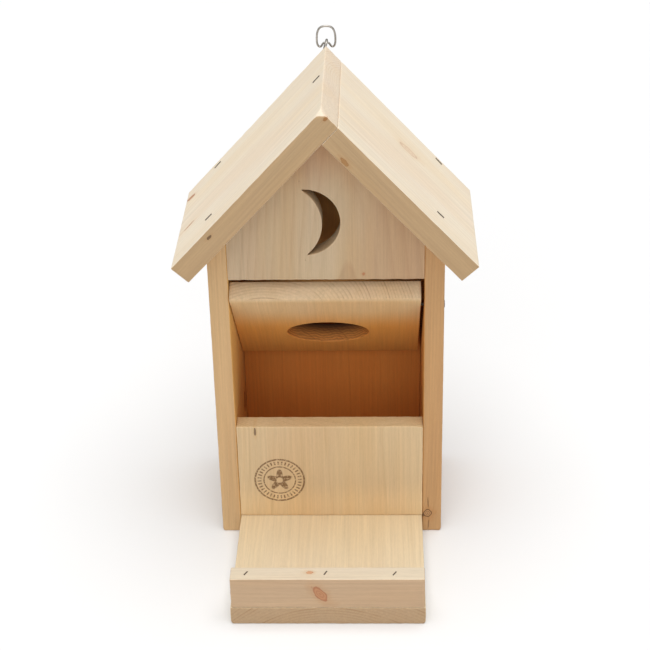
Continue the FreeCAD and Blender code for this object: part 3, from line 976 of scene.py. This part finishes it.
class Grain(Enum):
    """Which way a board's grain runs, as across, through and along directions."""

    FRONT_UPRIGHT = ((1, 0, 0), (0, 1, 0), (0, 0, 1))
    SIDE_UPRIGHT = ((0, 1, 0), (1, 0, 0), (0, 0, 1))
    LYING_BACKWARDS = ((1, 0, 0), (0, 0, 1), (0, 1, 0))
    LYING_SIDEWAYS = ((0, 0, 1), (0, 1, 0), (1, 0, 0))

    def at(self, corner: Sequence[float]) -> GrainFrame:
        """The grain frame that starts at a corner."""
        return GrainFrame(tuple(corner), *self.value)


def roughen(
    local: np.ndarray, wear: np.ndarray, seed: int, amount: float = 0.16 * MM
) -> np.ndarray:
    """Draws a board's surface inwards a little, most at its edges, as planing and sawing leave it.

    Formula: an offset towards the board's middle of amount times 0.5, plus slow and quick noise
    drawn out along the grain, plus more where the edges are worn.

    Args:
        local: Array of shape (stations, points, 3) in the board's directions.
        wear: Edge wear of the same points.
        seed: Picks the noise.
        amount: Deepest offset on a face.

    Returns:
        The moved points.
    """
    low, high = local.min(axis=(0, 1)), local.max(axis=(0, 1))
    centre, half = (low + high) / 2, (high - low) / 2
    slow = lattice_noise(local * np.array([1.0, 1.0, 0.25]), 14 * MM, seed)
    quick = lattice_noise(local * np.array([1.0, 1.0, 0.5]), 3.5 * MM, seed + 1)
    offset = amount * (0.5 + 0.3 * slow + 0.2 * quick + wear * (0.9 + 1.2 * quick))
    closeness = np.clip(1.0 - (half - np.abs(local - centre)) / (1.2 * MM), 0.0, 1.0)
    return local - np.sign(local - centre) * closeness * offset[..., None]


def planed_board(
    size: Sequence[float], rounding: float, seed: int
) -> tuple[np.ndarray, np.ndarray]:
    """A straight board with slightly uneven sides.

    Args:
        size: Across, through and along.
        rounding: Rounding of every edge.
        seed: Picks the unevenness.

    Returns:
        The rings in the board's directions, and their edge wear.
    """
    rings = board_rings(*size, rounding)
    wear = edge_wear(rings, size)
    return roughen(rings, wear, seed), wear


@dataclass
class Walls:
    """The two side walls, upright boards with their tops cut to the roof's slope."""

    sizes: HouseSizes
    rounding: float = 1.3 * MM
    foot_round: float = 4.0 * MM

    def build(self) -> None:
        """Builds both walls."""
        self.wall("right", 1, PineFinish(
            "right wall wood",
            Grain.SIDE_UPRIGHT.at((self.sizes.inside_half, 0, 0)),
            early=(0.55, 0.32, 0.145), late=(0.38, 0.17, 0.06),
            # The indoor side gets the painted reflected light and shade of the indoor tint.
            pith_across=-0.02, pith_through=-0.055, spacing=0.0030, inner_side=-1.0,
            knots=(
                Knot(0.0053, 0.0214, 0.0043, 1.1, tone=KnotTone.RING, edge=0.0),
                Knot(0.0062, 0.0080, 0.0006, 9.0, 4.0, KnotTone.DARK, 0.55, 0.2, edge=0.0),
                Knot(0.0056, 0.0345, 0.0006, 10.0, -3.0, KnotTone.DARK, 0.5, 0.2, edge=0.0),
                Knot(0.0008, 0.0190, 0.0012, 1.6, 0.0, KnotTone.DARK, 0.7, 0.3, edge=0.0),
                Knot(0.085, 0.212, 0.0075), Knot(0.030, 0.118, 0.004, 1.3, tone=KnotTone.RED),
            ),
        ), 31)
        self.wall("left", -1, PineFinish(
            "left wall wood",
            Grain.SIDE_UPRIGHT.at((-self.sizes.outside_half, 0, 0)),
            early=(0.62, 0.41, 0.21), late=(0.44, 0.23, 0.10),
            pith_across=0.09, pith_through=0.07, spacing=0.0034, inner_side=1.0,
            # Indoor tint: painted reflected light and shade, lighter on this wall's indoor side.
            indoor_light_and_shade=(1.40, 1.30, 0.84),
            knots=(
                Knot(0.105, 0.090, 0.008, 1.4), Knot(0.048, 0.251, 0.004, 1.4, tone=KnotTone.RED),
            ),
        ), 32)

    def wall(self, side: str, sign: int, finish: PineFinish, seed: int) -> None:
        """Builds one wall.

        Formula: a straight board whose height at each point is stretched to meet the slope.

        Args:
            side: right or left.
            sign: 1 for the right wall, -1 for the left.
            finish: Its wood.
            seed: Picks its roughness.
        """
        sizes = self.sizes
        node = f"{side}_side_wall"
        low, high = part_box(node)
        size = (high.y - low.y, high.x - low.x, high.z - low.z)
        rings, wear = planed_board(size, self.rounding, seed)
        rings = ease_edge(rings, size, ((1, sign > 0), (2, False)), self.foot_round)
        points = finish.grain.place(rings)
        top = high.z - sizes.rise * (np.abs(points[..., 0]) - sizes.inside_half)
        points[..., 2] = points[..., 2] * top / high.z
        piece = skin(f"{side}_wall_board", points, wear, False)
        place_piece(piece, node, finish.make())


@dataclass
class Front:
    """The riser, the gable panel with its crescent, and the back panel behind them.

    The moon's two circles are given as across and height of the middle, and radius.
    """

    sizes: HouseSizes
    moon_out: tuple[float, float, float] = (-18.8 * MM, 347.6 * MM, 33.2 * MM)
    moon_in: tuple[float, float, float] = (-43.45 * MM, 346.1 * MM, 41.0 * MM)
    rounding: float = 0.8 * MM
    gable_round: float = 0.7 * MM
    moon_round: float = 0.6 * MM
    chip_depth: float = 1.6 * MM
    saw_fuzz: float = 0.6 * MM

    def build(self) -> None:
        """Builds the riser, the gable and the back panel."""
        self.riser()
        self.gable()
        self.back()

    def riser(self) -> None:
        """Builds the riser.

        Formula: a straight board, lowered near its top right corner by a bell curve of the
        distance from it.
        """
        low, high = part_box("riser_panel")
        size = tuple(high[i] - low[i] for i in (0, 1, 2))
        finish = PineFinish(
            "riser wood", Grain.FRONT_UPRIGHT.at(low),
            early=(0.67, 0.495, 0.29), late=(0.49, 0.31, 0.15),
            # The indoor side gets the painted reflected light and shade of the indoor tint.
            pith_across=0.115, pith_through=0.16, spacing=0.0026, contrast=0.30, inner_side=1.0,
            # The fade lightens the riser towards its foot: partly its own tone, partly painted
            # reflected light.
            end_tint=(0.97, 0.97, 0.92), fades=(Fade(2, 0.045, 0.012, (1.12, 1.10, 1.05)),),
            knots=(
                Knot(0.0185, 0.1008, 0.0011, 4.0, tone=KnotTone.DARK, depth=0.7, swirl=0.3),
            ),
        )
        rings, wear = planed_board(size, self.rounding, 41)
        corner = np.array([size[0], 0.0, size[2]])
        chip = np.linalg.norm((rings - corner) / (np.array([5.0, 4.0, 3.5]) * MM), axis=-1)
        rings[..., 2] -= self.chip_depth * np.exp(-(chip**2) * 1.2)
        piece = skin("riser_board", finish.grain.place(rings), wear, False)
        brand = BurnedMark(0.0410, 0.0433, 0.0255)
        place_piece(piece, "riser_panel", finish.make(brand.draw))

    def gable_outline(self, inset: float) -> np.ndarray:
        """The gable's outline, from below the moon's lower tip, anticlockwise."""
        sizes = self.sizes
        upper, lower = (tip[0] for tip in self.tips())
        half, low, high = sizes.inside_half, sizes.gable_bottom, sizes.under_ridge
        side = high - sizes.rise * half
        corners = (
            (lower, low), (half, low), (half, side), (0.0, high),
            (upper, high + sizes.rise * upper), (-half, side), (-half, low),
        )
        return polygon_loop(corners, (44, 22, 56, 12, 46, 22, 36), inset)

    def crossing(self, wider: float) -> tuple[float, float, float]:
        """Where the moon's two circles cross.

        Formula: with the gap between the circles' middles, the crossing lies at
        (r_in^2 - r_out^2 + gap^2) / (2 gap) along the line between them.

        Args:
            wider: Length added to the outer radius and taken from the inner one.

        Returns:
            The moon's lean, the crossing's distance from the inner middle along the line between
            the middles, and its distance from that line.
        """
        (out_x, out_z, out_r), (in_x, in_z, in_r) = self.moon_out, self.moon_in
        out_r, in_r = out_r + wider, in_r - wider
        gap = math.hypot(out_x - in_x, out_z - in_z)
        reach = (in_r**2 - out_r**2 + gap**2) / (2 * gap)
        return math.atan2(out_z - in_z, out_x - in_x), reach, math.sqrt(in_r**2 - reach**2)

    def tips(self) -> tuple[tuple[float, float], tuple[float, float]]:
        """Across and height of the moon's upper and lower tips."""
        lean, reach, rise = self.crossing(0.0)
        in_x, in_z, _ = self.moon_in
        upper, lower = (
            (
                in_x + reach * math.cos(lean) - way * rise * math.sin(lean),
                in_z + reach * math.sin(lean) + way * rise * math.cos(lean),
            )
            for way in (1, -1)
        )
        return upper, lower

    def moon(self, wider: float) -> np.ndarray:
        """The moon's edge, widened: the outer arc upwards, then the inner arc down.

        Formula: two circles' arcs between the points where they cross, with the widening added
        to the outer radius and taken from the inner one.
        """
        (out_x, out_z, out_r), (in_x, in_z, in_r) = self.moon_out, self.moon_in
        out_r, in_r = out_r + wider, in_r - wider
        lean, reach, rise = self.crossing(wider)
        gap = math.hypot(out_x - in_x, out_z - in_z)
        out_tip = math.atan2(rise, reach - gap)
        in_tip = math.atan2(rise, reach)
        outer = lean + np.linspace(-out_tip, out_tip, 134, endpoint=False)
        inner = lean + np.linspace(in_tip, -in_tip, 104, endpoint=False)
        return np.concatenate([
            np.stack([out_x + out_r * np.cos(outer), out_z + out_r * np.sin(outer)], -1),
            np.stack([in_x + in_r * np.cos(inner), in_z + in_r * np.sin(inner)], -1),
        ])

    def gable(self) -> None:
        """Builds the gable panel.

        Formula: a plate with the moon's opening; its lower edge is raised by up to saw_fuzz with
        noise that runs through the board, and the front's edges are set back a little.
        """
        sizes = self.sizes
        low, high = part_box("gable_panel")
        finish = PineFinish(
            "gable wood", Grain.FRONT_UPRIGHT.at((0, low.y, 0)),
            early=(0.535, 0.405, 0.258), late=(0.35, 0.20, 0.10),
            # The indoor side gets the painted reflected light and shade of the indoor tint.
            pith_across=0.02, pith_through=0.20, spacing=0.0026, contrast=0.42, inner_side=1.0,
            blotch=0.55, fades=(
                # Fades: towards the right partly the wood's own redder tone and partly painted shade;
                # near the top painted shade under the roof's overhang.
                Fade(0, 0.00, 0.07, (0.94, 0.81, 0.73)), Fade(2, 0.37, 0.42, (0.88, 0.75, 0.68)),
            ),
            knots=(Knot(0.0352, 0.2945, 0.0012, 1.2, tone=KnotTone.RED, depth=0.8, swirl=0.5),),
        )
        rings, wear = plate_rings(
            self.gable_outline, self.moon, high.y - low.y, self.gable_round, self.moon_round
        )
        spot = rings * np.array([1.0, 1.0, 0.0])
        ragged = lattice_noise(spot, 2.2 * MM, 51) * 0.45 + lattice_noise(spot, 0.9 * MM, 52) * 0.35
        lowest = np.clip(1.0 - (rings[..., 2] - sizes.gable_bottom) / (4 * MM), 0.0, 1.0)
        rings[..., 2] += lowest * (ragged + 0.8) * self.saw_fuzz
        setback = 0.12 * MM * wear * (1.0 + lattice_noise(rings, 4 * MM, 53))
        rings[..., 1] += setback * (rings[..., 1] < 9 * MM)
        piece = skin("gable_board", finish.grain.place(rings), wear, True)
        place_piece(piece, "gable_panel", finish.make())

    def back(self) -> None:
        """Builds the back panel.

        Formula: a straight board whose height is stretched to under_ridge - rise * |across|.
        """
        sizes = self.sizes
        low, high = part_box("back_panel")
        size = tuple(high[i] - low[i] for i in (0, 1, 2))
        finish = PineFinish(
            "back wood", Grain.FRONT_UPRIGHT.at(low),
            early=(0.64, 0.40, 0.19), late=(0.45, 0.22, 0.08),
            pith_across=0.08, pith_through=-0.07, spacing=0.0030, contrast=0.3, inner_side=-1.0,
            # Indoor tint: painted reflected light and shade, deeper and more orange on the indoor
            # face.
            indoor_light_and_shade=(1.07, 0.63, 0.265),
            # The fade makes the indoor face lighter and less orange above this height: painted
            # reflected light and shade, partly the wood's own tone.
            fades=(Fade(2, 0.19, 0.24, (1.15, 1.7, 2.7), face=-1.0),),
            knots=(Knot(0.055, 0.315, 0.008), Knot(0.128, 0.052, 0.005, 1.3, tone=KnotTone.RED)),
        )
        rings, wear = planed_board(size, self.rounding, 61)
        points = finish.grain.place(rings)
        top = sizes.under_ridge - sizes.rise * np.abs(points[..., 0])
        points[..., 2] = low.z + (points[..., 2] - low.z) * (top - low.z) / (high.z - low.z)
        piece = skin("back_board", points, wear, False)
        place_piece(piece, "back_panel", finish.make())


@dataclass(frozen=True)
class BurnedMark:
    """A plain round branded mark: two rings, ticks between them and a five-lobed rosette."""

    across: float
    along: float
    radius: float

    def draw(self, wiring: Wiring, place: Place, colour: Socket) -> Socket:
        """Burns the mark into a colour.

        Args:
            wiring: The material's tree.
            place: The board's across, through and along coordinates.
            colour: The wood's colour.

        Returns:
            The colour with the mark.
        """
        side = wiring.minus(place[0], self.across)
        up = wiring.minus(place[2], self.along)
        far = wiring.math("DIVIDE", wiring.reach(side, up), self.radius)
        turn = wiring.math("ARCTAN2", up, side)

        def ring(middle: float, half: float) -> Socket:
            """A thin ring of the mark."""
            off = wiring.math("ABSOLUTE", wiring.minus(far, middle))
            return wiring.smooth(off, half * 1.3, half * 0.7)

        ticks = wiring.math("SINE", wiring.product(turn, 36.0))
        ticks = wiring.product(wiring.smooth(ticks, 0.0, 0.5), ring(0.80, 0.075))
        petals = wiring.math("SINE", wiring.product(turn, 5.0))
        petals = wiring.minus(far, wiring.scaled(petals, 0.14, 0.36))
        rosette = wiring.product(wiring.smooth(petals, 0.04, -0.04), wiring.smooth(far, 0.10, 0.15))
        mark = wiring.math("MAXIMUM", ring(0.965, 0.035), ring(0.62, 0.025))
        mark = wiring.math("MAXIMUM", mark, wiring.math("MAXIMUM", ticks, rosette))
        front = wiring.smooth(place[1], 1.0 * MM, 0.6 * MM)
        patchy = wiring.smooth(wiring.noise(wiring.combine(*place), 500.0, 3.0), 0.25, 0.55)
        mark = wiring.product(wiring.product(mark, front), patchy)
        return wiring.blend(wiring.product(mark, 0.85), colour, (0.15, 0.065, 0.02))


@dataclass
class Platform:
    """The floor that runs out in front, and the lip on its front end."""

    rounding: float = 0.9 * MM
    lower_round: float = 4.5 * MM

    def build(self) -> None:
        """Builds the floor board and the lip."""
        self.plain("floor_board", "platform_floor", PineFinish(
            "floor wood", Grain.LYING_BACKWARDS.at(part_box("floor_board")[0]),
            early=(0.72, 0.595, 0.405), late=(0.50, 0.34, 0.18),
            pith_across=0.098, pith_through=-0.11, spacing=0.0034, contrast=0.15, end_contrast=1.0,
            blotch=0.12, end_tint=(0.65, 0.54, 0.47),
            fades=(
                # Painted shade and reflected light, partly the wood's own tone: the floor darker and
                # warmer towards the house, and deep orange inside it.
                Fade(2, 0.04, 0.13, (0.955, 0.92, 0.86)),
                Fade(2, 0.1655, 0.1675, (0.87, 0.59, 0.42)),
            ),
        ), 71)
        self.plain("platform_lip", "front_lip", PineFinish(
            "lip wood", Grain.LYING_SIDEWAYS.at(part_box("platform_lip")[0]),
            early=(0.535, 0.37, 0.23), late=(0.40, 0.25, 0.14),
            pith_across=-0.02, pith_through=0.05, spacing=0.0028, contrast=0.35, blotch=0.2,
            # The narrow-face tint is painted light: the lip's top face lighter and less orange than
            # its front, as more light falls on it.
            narrow_light_and_shade=(1.21, 1.50, 1.80),
            knots=(
                Knot(0.0163, 0.0840, 0.0045, 2.2, -50.0, KnotTone.RED, 0.75),
                Knot(0.0108, 0.0741, 0.0019, 1.7, 0.0, KnotTone.RED, 0.9, 0.4, edge=0.0333),
            ),
        ), 72)

    def plain(self, node: str, name: str, finish: PineFinish, seed: int) -> None:
        """Builds a straight board that fills its node's box.

        Args:
            node: The frame's node.
            name: The piece's name.
            finish: Its wood.
            seed: Picks its roughness.
        """
        low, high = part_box(node)
        span = np.array(high - low)
        axes = np.array([finish.grain.across, finish.grain.through, finish.grain.along])
        size = tuple(np.abs(axes @ span))
        rings, wear = planed_board(size, self.rounding, seed)
        if node == "floor_board":
            for far in (False, True):
                rings = ease_edge(rings, size, ((0, far), (1, False)), self.lower_round)
        piece = skin(name, finish.grain.place(rings), wear, False)
        place_piece(piece, node, finish.make())


@dataclass
class Roof:
    """Two boards that lap at the ridge, the left one over the right one's end."""

    sizes: HouseSizes
    rounding: float = 0.7 * MM
    eave_round: float = 3.4 * MM
    end_round: float = 2.6 * MM
    ridge_blunt: float = 8.0 * MM

    def build(self) -> None:
        """Builds both roof boards."""
        sizes = self.sizes
        lap = sizes.roof_board * math.tan(2 * sizes.pitch - math.pi / 2)
        butt = sizes.roof_board / math.sin(2 * sizes.pitch)
        pale = dict(
            early=(0.82, 0.715, 0.56), late=(0.69, 0.52, 0.33), spacing=0.0030, contrast=0.32,
            # The narrow-face tint is painted shade: the boards' front and back faces darker than
            # their tops, as less light falls on them.
            end_contrast=1.0, blotch=0.3, end_tint=(0.94, 0.91, 0.90), narrow_light_and_shade=(0.59, 0.46, 0.32),
            # Little edge lightening here: rubbed wear and a painted edge highlight, both kept faint
            # on the pale roof.
            wear_and_edge_sheen=0.12,
        )
        self.slope("left", -1, 0.0, lap, dict(
            pale, pith_across=0.10, pith_through=0.10,
            knots=(
                Knot(0.1436, 0.2005, 0.0035, 1.8, 20.0, KnotTone.RED, 0.8),
                Knot(0.066, 0.1916, 0.0018, 4.0, 0.0, KnotTone.RED, 0.6, 0.4),
                Knot(0.0058, 0.1595, 0.0012, 2.5, 0.0, KnotTone.DARK, 0.7, 0.3, edge=0.0),
                Knot(0.0079, 0.0030, 0.0014, 1.6, 0.0, KnotTone.PALE, 0.8, 0.3, edge=0.0),
            ),
        ), 81)
        self.slope("right", 1, butt, butt + lap, dict(
            pale, pith_across=0.07, pith_through=0.12,
            knots=(
                Knot(0.1112, 0.1161, 0.0055, 2.0, 10.0, KnotTone.FAINT, 0.5),
                Knot(0.0182, 0.0489, 0.0019, 2.6, 4.0, KnotTone.PALE, 0.65, edge=0.0),
            ),
        ), 82)

    def worn_corners(self, rings: np.ndarray, size: Sequence[float], blunt: float) -> np.ndarray:
        """Blunts a board's front corner at the ridge and rounds its corners at the eave.

        Formula: where across + through + along falls short of blunt, each gains a third of what
        is missing; at the eave a point outside the corner's circle is drawn in to it.

        Args:
            rings: Points as across, through and along.
            size: The board's size.
            blunt: Cut of the corner at the ridge.

        Returns:
            The moved points.
        """
        moved = rings.copy()
        moved += np.maximum(blunt - rings.sum(axis=-1), 0.0)[..., None] / 3
        for far in (False, True):
            moved = ease_edge(moved, size, ((0, far), (2, True)), self.eave_round)
            moved = ease_edge(moved, size, ((1, far), (2, True)), self.end_round)
        return moved

    def slope(
        self, side: str, sign: int, top_start: float, under_start: float, wood: dict, seed: int
    ) -> None:
        """Builds one roof board.

        Formula: a straight board along the slope; its ridge end is sheared so that it starts at
        top_start on the upper face and at under_start on the lower one.

        Args:
            side: left or right.
            sign: -1 for the left board, 1 for the right.
            top_start: Distance from the ridge to the upper face's start.
            under_start: Distance from the ridge to the lower face's start.
            wood: The finish's own settings.
            seed: Picks its roughness.
        """
        sizes = self.sizes
        node = f"{side}_roof_board"
        low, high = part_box(node)
        pitch = sizes.pitch
        grain = GrainFrame(
            (0.0, low.y, sizes.ridge), (0.0, 1.0, 0.0),
            (-sign * math.sin(pitch), 0.0, -math.cos(pitch)),
            (sign * math.cos(pitch), 0.0, -math.sin(pitch)),
        )
        size = (high.y - low.y, sizes.roof_board, sizes.roof_length)
        rings, wear = planed_board(size, self.rounding, seed)
        rings = self.worn_corners(rings, size, self.ridge_blunt if side == "left" else 0.0)
        start = top_start + (under_start - top_start) * rings[..., 1] / sizes.roof_board
        rings[..., 2] = start + rings[..., 2] * (1.0 - start / sizes.roof_length)
        finish = PineFinish(f"{side} roof wood", grain, **wood)
        piece = skin(f"{side}_roof_slope", grain.place(rings), wear, False)
        place_piece(piece, node, finish.make())


@dataclass(frozen=True)
class BoreShade:
    """The rough wall of the seat's oval hole, with painted shade that darkens it towards its far
    side.
    """

    middle: float
    half: tuple[float, float]
    depth: float

    def draw(self, wiring: Wiring, place: Place, colour: Socket) -> Socket:
        """Paints shade over a colour inside the hole's edge.

        Args:
            wiring: The material's tree.
            place: The board's across, through and along coordinates.
            colour: The wood's colour.

        Returns:
            The colour with the hole's wall.
        """
        side = wiring.math("DIVIDE", place[0], self.half[0])
        up = wiring.math("DIVIDE", wiring.minus(place[2], self.middle), self.half[1])
        wall = wiring.smooth(wiring.reach(side, up), 1.020, 1.004)
        wavy = wiring.noise(wiring.combine(*place), 90.0, 2.0)
        level = wiring.scaled(wavy, 0.006, place[1])
        rows = wiring.wave(wiring.product(level, 2400.0))
        near = wiring.blend(wiring.product(rows, 0.55), (1.12, 0.94, 0.86), (0.50, 0.38, 0.34))
        # Painted shade: the wall turns nearly black towards the hole's far side, where no light
        # reaches.
        deep = wiring.smooth(place[1], -0.6 * self.depth, self.depth)
        tone = wiring.blend(deep, near, (0.08, 0.06, 0.075))
        return wiring.blend(wall, colour, tone, "MULTIPLY")


@dataclass
class Seat:
    """The loose board inside, with its oval hole, leaning back on its pivot."""

    sizes: HouseSizes
    top_reach: float = 40 * MM
    length: float = 163.2 * MM
    half_width: float = 90.25 * MM
    offset: float = -1.3 * MM
    hole_down: float = 98.6 * MM
    hole_half: tuple[float, float] = (40.5 * MM, 31.0 * MM)
    edge_round: float = 6.5 * MM
    side_round: float = 0.9 * MM
    hole_round: float = 0.7 * MM

    def outline(self, inset: float) -> np.ndarray:
        """The seat's outline about its pivot, anticlockwise from the lower left."""
        half, top = self.half_width, self.top_reach
        corners = ((-half, top - self.length), (half, top - self.length), (half, top), (-half, top))
        return polygon_loop(corners, (66, 60, 66, 60), inset)

    def hole(self, wider: float) -> np.ndarray:
        """The oval hole's edge.

        Formula: an ellipse whose points lie at the angles of the outline's corners and sides.
        """
        ring = self.outline(0.0) - np.array([0.0, self.top_reach - self.hole_down])
        angle = np.arctan2(ring[:, 1] / self.hole_half[1], ring[:, 0] / self.hole_half[0])
        wide, tall = self.hole_half[0] + wider, self.hole_half[1] + wider
        return np.stack(
            [wide * np.cos(angle), self.top_reach - self.hole_down + tall * np.sin(angle)], -1
        )

    def build(self) -> None:
        """Builds the seat and turns it about its pivot into its resting place."""
        sizes = self.sizes
        cos, sin = math.cos(sizes.tilt), math.sin(sizes.tilt)
        turn = GrainFrame(
            (self.offset, sizes.pivot.y, sizes.pivot.z), (1.0, 0.0, 0.0),
            (0.0, cos, sin), (0.0, -sin, cos),
        )
        finish = PineFinish(
            "seat wood", turn,
            early=(0.66, 0.40, 0.17), late=(0.40, 0.20, 0.08),
            pith_across=-0.060, pith_through=-0.062, spacing=0.0030, contrast=0.16,
            # End tint: the seat's top end paler and less orange than its face, partly the end grain's
            # own tone and partly painted light on the end that looks up, spread over the rounded
            # edge.
            end_contrast=1.0, end_tint=(0.96, 1.04, 1.22), end_fade=(0.05, 0.97),
            # Fades: painted light and reflected light, partly the wood's own tone: the upper part
            # paler, the lower part deep orange for the reflected light inside the house.
            fades=(
                Fade(2, -0.055, 0.030, (1.0, 1.12, 1.38)),
                Fade(2, 0.012, -0.050, (1.06, 0.80, 0.44)),
            ),
        )
        rings, wear = plate_rings(
            self.outline, self.hole, sizes.board, self.side_round, self.hole_round
        )
        corner = np.array([-self.half_width, 0.0, self.top_reach - self.length])
        size = (2 * self.half_width, sizes.board, self.length)
        rings = ease_edge(rings - corner, size, ((1, False), (2, True)), self.edge_round) + corner
        rings[..., 1] -= sizes.board / 2
        piece = skin("seat_lid", turn.place(rings), wear, True)
        bore = BoreShade(self.top_reach - self.hole_down, self.hole_half, sizes.board / 2)
        place_piece(piece, "seat_board", finish.make(bore.draw), "seat")


@dataclass
class Fixings:
    """Nails, staples, the screw eye and the hanging ring.

    foot holds the right half of the ring's corners in millimetres, across and up from the pivot.
    """

    wire: float = 2.0 * MM
    samples: int = 14
    foot: tuple[tuple[float, float], ...] = (
        (2.6, 0.0), (5.4, -4.9), (9.0, -2.4), (9.0, 9.2), (5.6, 16.5),
    )

    def ring_path(self) -> np.ndarray:
        """The ring's centre line about its pivot.

        Formula: the closed quadratic B-spline of the ring's corners, sampled evenly at each corner;
        each run is (1-t)^2/2, (1 + 2t - 2t^2)/2 and t^2/2 of three corners in a row.

        Returns:
            Array of shape (points, 2) of across and up.
        """
        right = np.array(self.foot) * MM
        corners = np.concatenate([[[0.0, 0.0]], right, (right * np.array([-1.0, 1.0]))[::-1]])
        share = np.linspace(0.0, 1.0, self.samples, endpoint=False)[:, None]
        weights = ((1 - share) ** 2 / 2, (1 + 2 * share - 2 * share**2) / 2, share**2 / 2)
        turns = (np.roll(corners, 1, axis=0), corners, np.roll(corners, -1, axis=0))
        return sum(w[None] * c[:, None] for w, c in zip(weights, turns)).reshape(-1, 2)

    def ring(self, finish: bpy.types.Material) -> None:
        """Builds the hanging ring.

        Formula: a circle of the wire's radius carried along the centre line, square to it.

        Args:
            finish: The steel.
        """
        joint = next(joint for joint in frame["joints"] if joint["name"] == "ring_swing")
        path = self.ring_path()
        ahead = np.roll(path, -1, axis=0) - np.roll(path, 1, axis=0)
        ahead /= np.linalg.norm(ahead, axis=1, keepdims=True)
        angle = np.linspace(0.0, 2 * math.pi, self.samples, endpoint=False)
        out = self.wire / 2 * np.cos(angle)
        rings = np.stack([
            path[:, None, 0] - ahead[:, None, 1] * out,
            np.broadcast_to(self.wire / 2 * np.sin(angle), (len(path), len(angle))),
            path[:, None, 1] + ahead[:, None, 0] * out,
        ], -1) + np.array(joint["pos_m"])
        piece = skin("hanging_loop", rings, np.zeros(rings.shape[:2]), True)
        place_piece(piece, "hanging_ring", finish, "ring")

    def build(self) -> None:
        """Gives every steel node its finish and builds the ring."""
        wire = SteelFinish("wire steel", (0.52, 0.49, 0.45), 0.33).make()
        # Painted shade: the nail steel is much darker than the wire, so the pivot nail in the dark
        # gap beside the seat shows no glint.
        nail = SteelFinish("nail steel", (0.20, 0.19, 0.18), 0.50).make()
        staple = SteelFinish("staple steel", (0.22, 0.19, 0.16), 0.5).make()
        kinds = (("screw_eye", wire), ("pivot_nail", nail), ("staple", staple))
        for name, node in frame["nodes"].items():
            for kind, finish in kinds:
                if kind in name:
                    dress(node, finish)
                    LOG.info("%s: dressed", name)
        self.ring(wire)


# ---------------------------------------------------------------------------------------------
# Studio


@dataclass
class Studio:
    """A pale floor, even and soft light, and the camera, whose angles are in degrees."""

    place: Triple = (0.05034, -1.35998, 0.99863)
    yaw: float = -2.20
    pitch: float = 29.13
    roll: float = -1.38
    lens: float = 90.92
    floor_half: float = 6.0
    room_light: float = 0.32

    def build(self) -> None:
        """Builds the floor, the lights, the world and the camera."""
        self.floor()
        self.world()
        self.lights()
        self.camera()

    def floor(self) -> None:
        """Lays the floor."""
        mesh = bpy.data.meshes.new("studio_floor")
        far = self.floor_half
        corners = [(-far, -far, 0), (far, -far, 0), (far, far, 0), (-far, far, 0)]
        mesh.from_pydata(corners, [], [(0, 1, 2, 3)])
        floor = bpy.data.objects.new("studio_floor", mesh)
        bpy.context.scene.collection.objects.link(floor)
        material = bpy.data.materials.new("studio paper")
        wiring = Wiring(material)
        place = wiring.node("ShaderNodeTexCoord").outputs["Object"]
        grain = wiring.noise(place, 900.0, 2.0)
        wiring.surface((0.80, 0.80, 0.80), 0.9, wiring.bump(grain, 0.02 * MM, 0.3))
        mesh.materials.append(material)

    def world(self) -> None:
        """Fills the room with even white light."""
        world = bpy.data.worlds.new("studio")
        world.use_nodes = True
        background = world.node_tree.nodes["Background"]
        background.inputs["Color"].default_value = (1.0, 1.0, 1.0, 1.0)
        background.inputs["Strength"].default_value = self.room_light
        bpy.context.scene.world = world
        view = bpy.context.scene.view_settings
        view.view_transform = "Standard"
        view.look = "None"
        view.exposure = 0.0

    def lights(self) -> None:
        """Hangs one wide soft light high above the house and a weaker one in front."""
        self.soft_light("high_light", 2.65, 60.0, (-0.05, 0.10, -1.0))
        self.soft_light("front_light", 0.75, 50.0, (0.05, 0.85, -0.50))

    def soft_light(self, name: str, strength: float, spread: float, aim: Triple) -> None:
        """Hangs one far, wide light.

        Args:
            name: The light's name.
            strength: Its strength.
            spread: Its width in degrees.
            aim: The way its light travels.
        """
        lamp = bpy.data.lights.new(name, "SUN")
        lamp.energy, lamp.angle = strength, math.radians(spread)
        holder = bpy.data.objects.new(name, lamp)
        bpy.context.scene.collection.objects.link(holder)
        holder.matrix_world = Vector(aim).to_track_quat("-Z", "Y").to_matrix().to_4x4()

    def camera(self) -> None:
        """Sets the camera in its place.

        Formula: forward, right and up from the yaw and the pitch, then right and up turned by
        the roll.
        """
        yaw, pitch, roll = (math.radians(angle) for angle in (self.yaw, self.pitch, self.roll))
        forward = Vector((
            math.sin(yaw) * math.cos(pitch), math.cos(yaw) * math.cos(pitch), -math.sin(pitch)
        ))
        right = Vector((math.cos(yaw), -math.sin(yaw), 0.0))
        up = right.cross(forward)
        right, up = (
            math.cos(roll) * right + math.sin(roll) * up,
            -math.sin(roll) * right + math.cos(roll) * up,
        )
        lens = bpy.data.cameras.new("camera")
        lens.sensor_width, lens.lens = 36.0, self.lens
        camera = bpy.data.objects.new("camera", lens)
        bpy.context.scene.collection.objects.link(camera)
        turn = Matrix((right, up, -forward)).transposed().to_4x4()
        camera.matrix_world = Matrix.Translation(self.place) @ turn
        bpy.context.scene.camera = camera


def main() -> None:
    """Builds every part of the house in order."""
    logging.basicConfig(level=logging.INFO, format="%(name)s: %(message)s")
    sizes = HouseSizes.from_frame()
    house = (Walls(sizes), Front(sizes), Platform(), Roof(sizes), Seat(sizes), Fixings())
    for part in (*house, Studio()):
        LOG.info("building %s", type(part).__name__)
        part.build()


if __name__ == "__main__":
    main()
